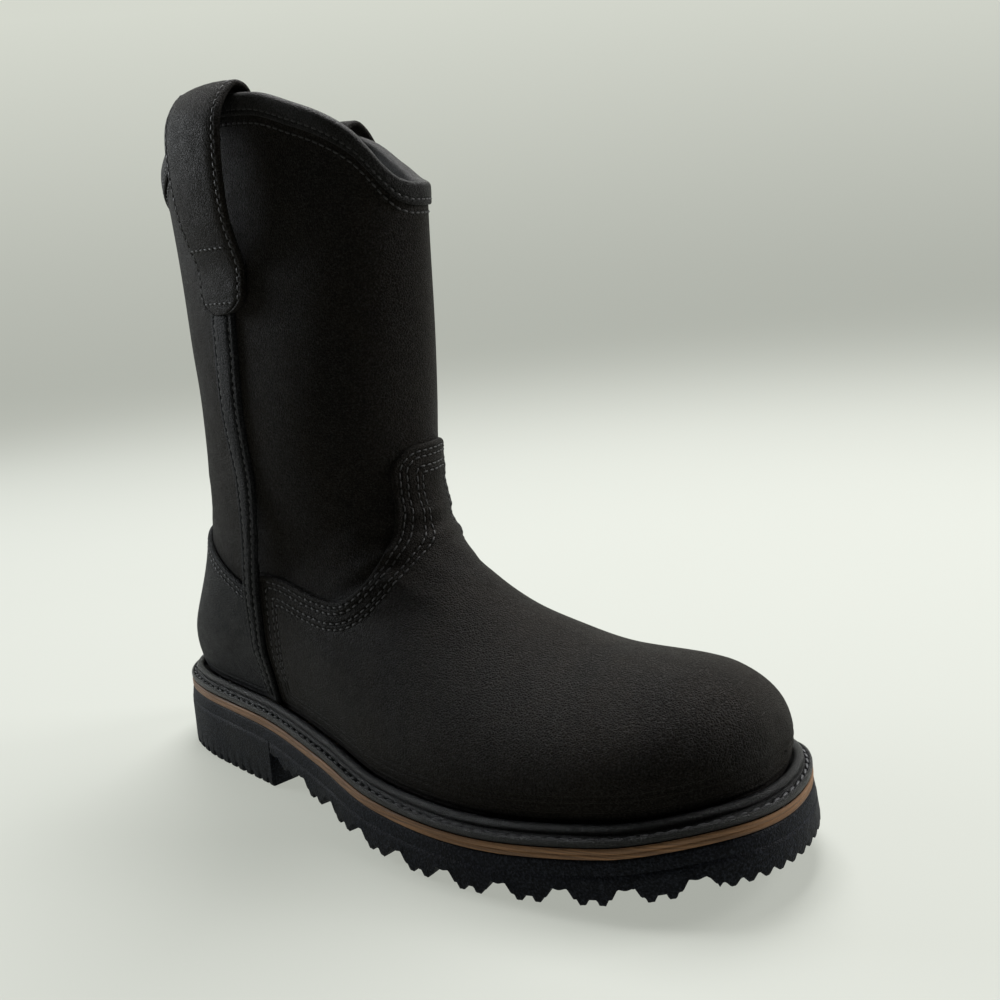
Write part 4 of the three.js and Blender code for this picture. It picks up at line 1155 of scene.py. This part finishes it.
def pull_strap(side, name):
    collar = float(collar_height(0.25 if side < 0 else 0.75))
    rise = 4.5 if side < 0 else 4.0
    flat = GAP + PULL_THICK / 2 + 0.25
    inside = LIN0 - 3 * GAP - PULL_THICK / 2
    out = PULL_GAP + PULL_THICK / 2
    path = [
        (flat, -PULL_LENGTH), (flat, -PULL_LENGTH + 8), (flat, -PULL_LENGTH + 18),
        (flat + 0.3 * PULL_GAP, -PULL_LENGTH + 26), (0.8 * out, -PULL_LENGTH + 37),
        (out, -0.32 * PULL_LENGTH), (out - 0.5, -0.12 * PULL_LENGTH), (0.6 * out, -1), (0, rise),
        (inside - 0.5, 0.5 * rise), (inside - 2.2, -6), (inside - 2.2, -18),
        (inside - 0.3, -32), (inside, -42), (inside, -56),
    ]
    line = spline(path, 150)
    run = np.concatenate([[0], np.cumsum(np.hypot(*np.diff(line, axis=0).T))])
    tangent = np.gradient(line, axis=0)
    tangent /= np.linalg.norm(tangent, axis=1, keepdims=True)
    normal = np.stack([tangent[:, 1], -tangent[:, 0]], 1)
    climb = np.clip((line[:, 1] + PULL_LENGTH) / (0.8 * PULL_LENGTH), 0, 1)
    width = PULL_TAB + (PULL_WIDTH - PULL_TAB) * climb
    first = np.clip(1 - run / 8.0, 0, 1)
    width = width * np.sqrt(np.clip(1 - first**2 * 0.9, 0.02, 1))
    end = np.clip(1 - (run[-1] - run) / 3.0, 0, 1)
    width = width * (1 - 0.12 * end**2)

    def place(i, k, h):
        """A point of the strap: index along it, millimetres across it, height over its middle."""
        bow = 0.9 * (1 - (2 * k / max(width[i], 1)) ** 2) * climb[i] * (i < 95)
        x = seam_x + 2 + k
        z = collar + line[i, 1] + normal[i, 1] * (h + bow)
        y = float(shaft_y(x, collar + line[i, 1])) + line[i, 0] + normal[i, 0] * (h + bow)
        return np.array([x, side * y, z])

    half = PULL_THICK / 2
    # Across: an edge that rolls over, a stitch groove, and a slightly padded middle.
    section = [
        (1.0, -0.55), (1.0, 0.0), (0.992, 0.55), (0.97, 0.86), (0.94, 1.0), (-1.9, 1.0),
        (-2.25, 0.74), (-2.6, 0.74), (-2.95, 1.0), (0.6, 1.12), (0.3, 1.2), (0.0, 1.22),
    ]
    b = Builder()
    rings = []
    for i in range(len(line)):
        w = width[i] / 2
        upper = []
        for s, h in section:
            k = w + s if s < 0 else w * s
            if s < 0 and w < 5:
                k = w * (0.9 + 0.02 * s)
            upper.append((max(k, 0.0), h * half))
        rim = upper + [(-k, h) for k, h in reversed(upper[:-1])]
        under = [(-w * 0.98, -0.9 * half), (-w * 0.5, -half), (0, -half), (w * 0.5, -half),
                 (w * 0.98, -0.9 * half)]
        rings.append([place(i, k, h) for k, h in rim] + [place(i, k, h) for k, h in under])
    b.grid(np.array(rings) if side < 0 else np.array(rings)[:, ::-1])
    verts, faces = b.data()
    make(name + "_leather", verts, faces, BLACK, [name])

    def row(indices, across):
        pts = np.array([place(i, across(i), half * 0.86) for i in indices])
        ups = np.array([place(i, across(i), half * 1.9) for i in indices]) - pts
        ups /= np.linalg.norm(ups, axis=1, keepdims=True)
        s = run_along(pts)
        for n in range(int(s[-1] / 3.3)):
            at = (n + 0.5) * 3.3
            c, u = sample(at, s, pts), sample(at, s, ups)
            along = sample(at + 1, s, pts) - sample(at - 1, s, pts)
            along /= max(np.linalg.norm(along), 1e-6)
            stitch(stitches, c, along, u, 2.5, 0.75, 0.55)

    outer = [i for i in range(len(line)) if run[i] > 5 and i < 88]
    row(outer, lambda i: width[i] / 2 - 2.45)
    row(outer, lambda i: -width[i] / 2 + 2.45)
    # The tab is sewn down by two short rows across it.
    for at in (4.6, 26.0):
        i = int(np.argmin(np.abs(run - at)))
        w = width[i] / 2 - 3
        pts = np.array([place(i, k, half * 1.15) for k in np.linspace(-w, w, 12)])
        ups = np.array([place(i, k, half * 2.2) for k in np.linspace(-w, w, 12)]) - pts
        s = run_along(pts)
        for n in range(int(s[-1] / 3.3)):
            middle_at = (n + 0.5) * 3.3
            c, u = sample(middle_at, s, pts), sample(middle_at, s, ups)
            along = pts[-1] - pts[0]
            stitch(stitches, c, along / np.linalg.norm(along), u / np.linalg.norm(u), 2.5, 0.75, 0.55)


pull_strap(-1, "pull_strap_lateral")
pull_strap(1, "pull_strap_medial")

# ---- collar binding ----
def collar_binding():
    """A folded strip over the raw edge of the collar, with its stitches."""
    outer, inner = GAP / 2, LIN0 - GAP
    thick, deep = 1.0, 6.6
    section = [
        (outer, -deep), (outer + 0.5 * thick, -deep - 0.15), (outer + 0.9 * thick, -deep + 0.25),
        (outer + thick, -deep + 0.8), (outer + thick, -5.1), (outer + 0.72 * thick, -4.8),
        (outer + 0.72 * thick, -4.4), (outer + thick, -4.1), (outer + 1.06 * thick, -2.5),
        (outer + thick, -0.6), (outer + 0.85 * thick, 0.5), (outer + 0.35 * thick, 1.25),
        (outer - 0.6, 1.65), ((outer + inner) / 2, 1.75), (inner + 0.6, 1.65),
        (inner - 0.35 * thick, 1.25), (inner - 0.85 * thick, 0.5), (inner - thick, -0.6),
        (inner - 1.06 * thick, -3), (inner - thick, -5.2), (inner - 0.9 * thick, -deep + 0.3),
        (inner - 0.4 * thick, -deep), (inner, -deep), (inner, 0.2), (outer, 0.2),
    ]
    count = 260
    r = np.arange(count) / count
    rings = np.zeros((count, len(section), 3))
    for k, (offset, lift) in enumerate(section):
        z = collar_height(r) + lift
        rings[:, k] = point_at(index_of(z), r, np.full(count, offset))
        rings[:, k, 2] = z
    b = Builder()
    b.grid(rings, loop=True)
    verts, faces = b.data()
    make("collar_binding_fold", verts, faces, FOLD, ["collar_binding"])
    rr = np.linspace(0, 1, 500)
    line = np.stack([index_of(collar_height(rr) - 4.6), rr], 1)
    stitch_line(stitches, line, outer + 0.74 * thick, pitch=3.0, length=2.3)
    line = np.stack([index_of(collar_height(rr) - 9.4), rr], 1)
    stitch_line(stitches, line, MID1 + 0.05, pitch=3.0, length=2.3, height=0.5)


collar_binding()
verts, faces = stitches.data()
make("upper_stitching", verts, faces, THREAD)

# ---- the welt ----
AROUND = 420


def band(name, section, material, replaces, count=AROUND):
    """A ring round the boot; its section is a list of (inset, height over the rubber)."""
    t = np.arange(count) / count
    rings = np.zeros((count, len(section), 3))
    for k, (inset, height) in enumerate(section):
        x, y = edge(t, inset)
        rings[:, k] = np.stack([x, y, rubber_top(x) + height], 1)
    b = Builder()
    b.grid(rings, loop=True)
    verts, faces = b.data()
    return make(name, verts, faces, material, replaces)


bead_centre = LIP_TOP + BEAD - 0.1
bead = [
    (4.8 + BEAD * math.cos(a), bead_centre + BEAD * math.sin(a))
    for a in np.linspace(-0.28, 1.28, 13) * math.pi
]
# The section runs in under the upper, round the bead, through the groove and over the lip.
welt_section = [
    (0.75, MIDSOLE + GAP), (11.7, MIDSOLE + GAP), (11.7, LIP_TOP),
    *bead,
    (2.95, LIP_TOP + 0.05), (2.75, LIP_TOP - 0.15), (2.6, LIP_TOP - 1.05), (2.3, LIP_TOP - 1.35),
    (1.7, LIP_TOP - 1.35), (1.4, LIP_TOP - 1.05), (1.25, LIP_TOP - 0.15), (1.05, LIP_TOP + 0.05),
    (0.75, LIP_TOP + 0.05), (0.38, LIP_TOP - 0.25), (0.2, LIP_TOP - 0.8), (0.18, LIP_TOP - 1.9),
    (0.35, MIDSOLE + GAP + 0.35),
]
band("welt_strip", welt_section, WELT_BLACK, ["welt"])

# Lockstitch in the groove of the welt.
welt_stitches = Builder()
t = np.linspace(0, 1, 4001)
ex, ey = edge(t, 2.0)
path = np.stack([ex, ey, rubber_top(ex) + LIP_TOP - 0.85], 1)
s = run_along(path)
count = int(s[-1] / 4.6)
pitch = s[-1] / count
for k in range(count):
    at = k * pitch
    c = sample(at, s, path)
    a = sample((at + 1) % s[-1], s, path) - c
    along = a / max(np.linalg.norm(a), 1e-6)
    up = np.array([0, 0, 1.0]) - along * along[2]
    up /= np.linalg.norm(up)
    twist = np.cross(up, along) * 0.16
    direction = along + twist
    stitch(welt_stitches, c, direction / np.linalg.norm(direction), up, pitch * 0.86, 1.15, 0.95)
verts, faces = welt_stitches.data()
make("welt_lockstitch", verts, faces, WELT_THREAD, ["welt_thread"])


# ---- midsole ----
def slab_mesh(section, count=240):
    """A layer with the sole's outline: the section runs from the lower to the upper edge."""
    t = np.arange(count) / count
    rows = []
    for inset, height in section:
        x, y = edge(t, inset)
        z = height(x) if callable(height) else rubber_top(x) + height
        rows.append(np.stack([x, y, z], 1))
    b = Builder()
    b.grid(np.array(rows), caps=False)
    verts, faces = b.data()
    faces = [f[::-1] for f in faces]
    n = count
    # Both ends close across the sole, lateral side to medial side.
    for base, flip in ((0, False), ((len(section) - 1) * n, True)):
        for j in range(n // 2):
            a, c = base + j, base + j + 1
            d, e = base + (n - 1 - j + 1) % n, base + (n - 1 - j) % n
            face = [a, c, e, d]
            if j == 0:
                face = [a, c, e]
            elif c == e:
                face = [a, c, d]
            faces.append(face[::-1] if flip else face)
    return verts, faces


mid = [
    (0.55, 0.12), (0.2, 0.35), (0.08, 0.9), (0.1, 1.75), (0.3, 1.95), (0.3, 2.1), (0.1, 2.3),
    (0.05, 3.1), (0.18, 3.75), (0.55, MIDSOLE - 0.02),
]
verts, faces = slab_mesh(mid)
make("midsole_layers", verts, faces, TAN, ["midsole"])

# ---- outsole ----
LUG_DEPTH = 7.5
WALL = FORE_HEIGHT - LUG_DEPTH
sole = Builder()
wall = [
    (-0.55 * FLARE, -WALL), (-0.62 * FLARE, -WALL + 0.5), (-0.45 * FLARE, -WALL * 0.6),
    (-0.1, -0.9), (0.25, -0.25), (0.8, -0.05),
]
sole.add(*slab_mesh(wall))

LUG_PITCH = 22.8
TOE_SKIRT = 1.55 * LUG_PITCH
t_fine = np.linspace(0, 1, 8001)
fine_x, fine_y = edge(t_fine)
run_fine = np.concatenate([[0], np.cumsum(np.hypot(np.diff(fine_x), np.diff(fine_y)))])
FULL_RUN, TIP_RUN = run_fine[-1], run_fine[4000]
BREAST = HEEL_SHARE * S


def along_edge(run):
    """The outline's parameter at a run from the back of the heel, lateral side first."""
    return np.interp(np.mod(run, FULL_RUN), run_fine, t_fine)


def edge_line(t, section, level=0.0):
    """Points at one place of the outline; the section lists (inset, height over the level)."""
    line = []
    for inset, height in section:
        x, y = edge(t, inset)
        line.append((float(x), float(y), max(level + height, 0.0)))
    return line


def tooth(d, half_base, half_tip):
    """Depth of one tooth, 0 to 1, at a distance from its middle."""
    return np.clip((half_base - np.abs(d)) / (half_base - half_tip), 0, 1)


def foot_depth(run):
    """How deep the edge of the sole reaches under the wall, as a share, at a run round it."""
    lateral_run = np.where(run <= TIP_RUN, run, FULL_RUN - run)
    half = np.where(run <= TIP_RUN, TIP_RUN, FULL_RUN - TIP_RUN)
    back = half - lateral_run
    depth = 0.24 + 0.04 * np.cos(back * 1.1)
    skirt = back < TOE_SKIRT
    saw = np.mod(back + 2.9, 5.8) - 2.9
    depth = np.where(skirt, 0.66 + 0.28 * tooth(saw, 2.5, 0.8), depth)
    ease = step(back, TOE_SKIRT - 1.5, TOE_SKIRT + 1.5)
    depth = np.where(np.abs(back - TOE_SKIRT) < 1.5, 0.66 - 0.4 * ease, depth)
    for i in range(11):
        place = half - TOE_SKIRT - (i + 0.7) * LUG_PITCH
        d = lateral_run - place
        fade = 1.0 if i < 8 else 0.7
        block = 0.68 * tooth(d, 9.4, 6.6)
        pair = np.maximum(tooth(d - 3.4, 3.9, 1.1), tooth(d + 3.4, 3.9, 1.1))
        shape = np.maximum(block, pair * (0.97 + 0.03 * np.cos(d)))
        depth = np.where(place > 1.3 * BREAST, np.maximum(depth, fade * shape), depth)
    return depth


# The edge of the sole from the breast round the toe: flush with the wall, cut into lugs.
start, stop = 1.24 * BREAST, FULL_RUN - 1.24 * BREAST
runs = np.arange(start, stop, 0.55)
depths = foot_depth(runs)
reach = np.where((TIP_RUN - runs < TOE_SKIRT) & (runs - TIP_RUN < TOE_SKIRT), 13.0, 17.0)
rows = []
for run, deep, far in zip(runs, depths, reach):
    t = float(along_edge(run))
    x0, _ = edge(t, 0)
    z = float(rubber_top(x0)) - WALL
    d = deep * LUG_DEPTH
    section = (
        (0.4, 0.38 * WALL), (-0.47 * FLARE - 0.04, 0.38 * WALL), (-0.62 * FLARE - 0.05, 0.4),
        (-0.85 * FLARE, -0.5 * d), (-FLARE, -0.88 * d), (-0.85 * FLARE, -d), (1.2, -d),
        (far * 0.55, -0.96 * d), (far - 0.6, -0.9 * d), (far, -0.7 * d), (far, 0.8),
    )
    rows.append(edge_line(t, section, z))
sole.grid(rows)


def heel_block():
    """The heel under the wall, with rounded notches along its foot."""
    x_end = 0.2905 * S
    half_x = fine_x[:4001]
    last = float(np.interp(x_end, half_x[200:], run_fine[200:4001]))
    last_m = FULL_RUN - float(np.interp(x_end, fine_x[4000:7801][::-1], run_fine[4000:7801][::-1]))
    runs_h = np.concatenate([-np.arange(last_m, 0, -0.5), np.arange(0, last + 0.01, 0.5)])
    rows = []
    for run in runs_h:
        t = float(along_edge(run))
        cut = abs(((abs(run) + 3.3) % 6.6) - 3.3)
        foot = 2.9 * max(0.0, 1 - (cut / 1.5) ** 2) ** 0.6
        if min(last, last_m) - abs(run) < 2.0:
            foot = 0.0
        x0, _ = edge(t, 0)
        top = float(rubber_top(x0)) - WALL + 1.2
        section = (
            (11, 0.0), (6.5, 0.0), (5.5, foot), (-0.3 * FLARE, foot), (-0.75 * FLARE, foot + 0.3),
            (-0.97 * FLARE, foot + 1.0), (-0.82 * FLARE, 0.5 * top), (-0.65 * FLARE, top - 0.8),
            (-0.47 * FLARE - 0.04, top - 1.2 + 0.38 * WALL), (0.5, top - 1.2 + 0.38 * WALL),
            (11, top),
        )
        rows.append(edge_line(t, section))
    sole.grid(rows)
    core = []
    for x in np.linspace(9.0, x_end, 40):
        lat = -float(half_width(x, 0, 9.0))
        med = float(half_width(x, 1, 9.0))
        top = float(rubber_top(x)) - 1
        core.append([(x, lat, 0.0), (x, med, 0.0), (x, med, top), (x, lat, top)])
    sole.grid(core)


heel_block()


def lug(t, inset, width, depth, reach_in, teeth=2):
    """An inner lug: it narrows downwards and ends in two pointed teeth, or one flat one."""
    x, y = (float(v) for v in edge(t, inset))
    ix, iy = (float(v) for v in edge(t, inset + 1))
    inwards = np.array([ix - x, iy - y])
    ahead = np.array([-inwards[1], inwards[0]])
    z = float(rubber_top(x)) - WALL
    half = width / 2
    profile = [(-half, 1.5), (-half, 0.0), (-0.8 * half, -0.5 * depth)]
    if teeth == 2:
        profile += [
            (-0.5 * half, -0.97 * depth), (-0.34 * half, -depth), (-0.2 * half, -0.85 * depth),
            (0, -0.68 * depth), (0.2 * half, -0.85 * depth), (0.34 * half, -depth),
            (0.5 * half, -0.97 * depth),
        ]
    else:
        profile += [(-0.6 * half, -depth), (0.6 * half, -depth)]
    profile += [(0.8 * half, -0.5 * depth), (half, 0.0), (half, 1.5)]
    rings = []
    ends = ((0, 0.93, 0.6), (0.6, 1, 0), (reach_in - 1, 0.86, 0), (reach_in, 0.8, 0.6))
    for distance, spread, rise in ends:
        line = []
        for across, h in profile:
            k = across * spread
            h = h + (rise if h < -0.4 * depth else 0)
            px = x + ahead[0] * k + inwards[0] * distance
            py = y + ahead[1] * k + inwards[1] * distance
            line.append((px, py, max(z + h, 0.0)))
        rings.append(line)
    sole.grid(rings)


for half, sign, inset in ((TIP_RUN, 1, 28), (FULL_RUN - TIP_RUN, -1, 24)):
    for i in range(0, 8):
        place = half - TOE_SKIRT - (i + 0.2) * LUG_PITCH
        if place > 1.35 * BREAST:
            t = float(along_edge(sign * place))
            if i > 0:
                lug(t, inset, 0.7 * LUG_PITCH, 0.8 * LUG_DEPTH, 14)
            lug(t, 3.5, 4.6, 0.6 * LUG_DEPTH, 12, teeth=1)
verts, faces = sole.data()
make("outsole_rubber", verts, faces, RUBBER, ["outsole"])

# ---- footbed ----
def footbed_layer():
    """The removable insole, with a rounded rim."""
    base, thick = BOARD_TOP + GAP, FOOTBED
    section = [
        (17.6, base + 0.02), (17.2, base + 0.3), (16.85, base + 0.55 * thick),
        (16.9, base + 0.85 * thick), (17.4, base + thick), (20, base + thick + 0.05),
    ]
    verts, faces = slab_mesh(section)
    return make("footbed_pad", verts, faces, FOAM, ["footbed"], "removable_footbed")


footbed_layer()

# ---- the studio: floor, light and camera ----
FACING = 138.0  # degrees: about the way the camera looks, along which the paper runs


def studio_floor():
    """A sheet of pale paper, lit a little from within so that it stays even."""
    n = Nodes("studio_paper", (0.16, 0.163, 0.153), 1.0, specular=0.0)
    n.shader.inputs["Emission Strength"].default_value = 0.51
    axes = n.add("ShaderNodeSeparateXYZ")
    n.link(n.coord, axes.inputs[0])
    glow = n.mix(n.grey(axes.outputs[2], 0.0, 1.2), (0.77, 0.8, 0.72), (1.24, 1.28, 1.15))
    n.link(glow, n.shader.inputs["Emission Color"])
    cloud = n.noise(1.5, 2, 0.5)
    tone = n.mix(n.grey(cloud, 0.3, 0.7), (0.16, 0.163, 0.153), (0.165, 0.168, 0.158))
    material = n.done(tone)
    # The sheet runs away from the camera and sweeps up behind the boot.
    sweep = [(d, 0.0) for d in np.linspace(-4, 2.4, 9)]
    sweep += [(2.4 + 1.6 * math.sin(a), 1.6 - 1.6 * math.cos(a)) for a in np.linspace(0.1, 1.57, 16)]
    sweep += [(4.0, 3.2), (4.0, 5.0)]
    cosine, sine = math.cos(math.radians(FACING)), math.sin(math.radians(FACING))
    b = Builder()
    b.grid(
        [
            [(u * cosine - w * sine, u * sine + w * cosine, h) for w in np.linspace(-7, 7, 9)]
            for u, h in sweep
        ],
        closed_ring=False,
        caps=False,
    )
    verts, faces = b.data()
    mesh = bpy.data.meshes.new("studio_floor")
    mesh.from_pydata(verts.tolist(), [], faces)
    floor = bpy.data.objects.new("studio_floor", mesh)
    bpy.context.scene.collection.objects.link(floor)
    mesh.shade_smooth()
    mesh.materials.append(material)


studio_floor()


def area_light(name, place, target, size, power, colour=(1, 1, 1)):
    data = bpy.data.lights.new(name, "AREA")
    data.shape = "SQUARE"
    data.size = size
    data.energy = power
    data.color = colour
    lamp = bpy.data.objects.new(name, data)
    bpy.context.scene.collection.objects.link(lamp)
    lamp.location = place
    lamp.rotation_euler = (Vector(target) - Vector(place)).to_track_quat("-Z", "Y").to_euler()


area_light("overhead_softbox", (-0.2, 0.45, 1.3), (0.03, 0, 0.1), 0.75, 40)
area_light("left_softbox", (-1.3, -0.35, 0.6), (0, 0, 0.14), 0.5, 12, (0.92, 0.96, 1))
area_light("right_softbox", (0.9, 0.9, 0.8), (0.02, 0, 0.12), 0.5, 16)
world = bpy.data.worlds.new("studio")
bpy.context.scene.world = world
world.use_nodes = True
world.node_tree.nodes["Background"].inputs["Color"].default_value = (0.79, 0.815, 0.745, 1)
world.node_tree.nodes["Background"].inputs["Strength"].default_value = 0.06
bpy.context.scene.view_settings.view_transform = "Standard"

YAW, PITCH, ROLL = (math.radians(a) for a in (41.5, 11.9, -5.5))
forward = Vector((-math.sin(YAW) * math.cos(PITCH), math.cos(YAW) * math.cos(PITCH), -math.sin(PITCH)))
right = forward.cross(Vector((0, 0, 1))).normalized()
up = right.cross(forward)
right, up = (
    right * math.cos(ROLL) + up * math.sin(ROLL),
    up * math.cos(ROLL) - right * math.sin(ROLL),
)
camera_data = bpy.data.cameras.new("camera")
camera_data.sensor_width = 36
camera_data.lens = 36 * 1.1193
camera = bpy.data.objects.new("camera", camera_data)
bpy.context.scene.collection.objects.link(camera)
place = Vector(to_row((468.5, -305.8, 210.3)))
rotation = Matrix((right, up, -forward)).transposed().to_4x4()
camera.matrix_world = Matrix.Translation(place) @ rotation
bpy.context.scene.camera = camera
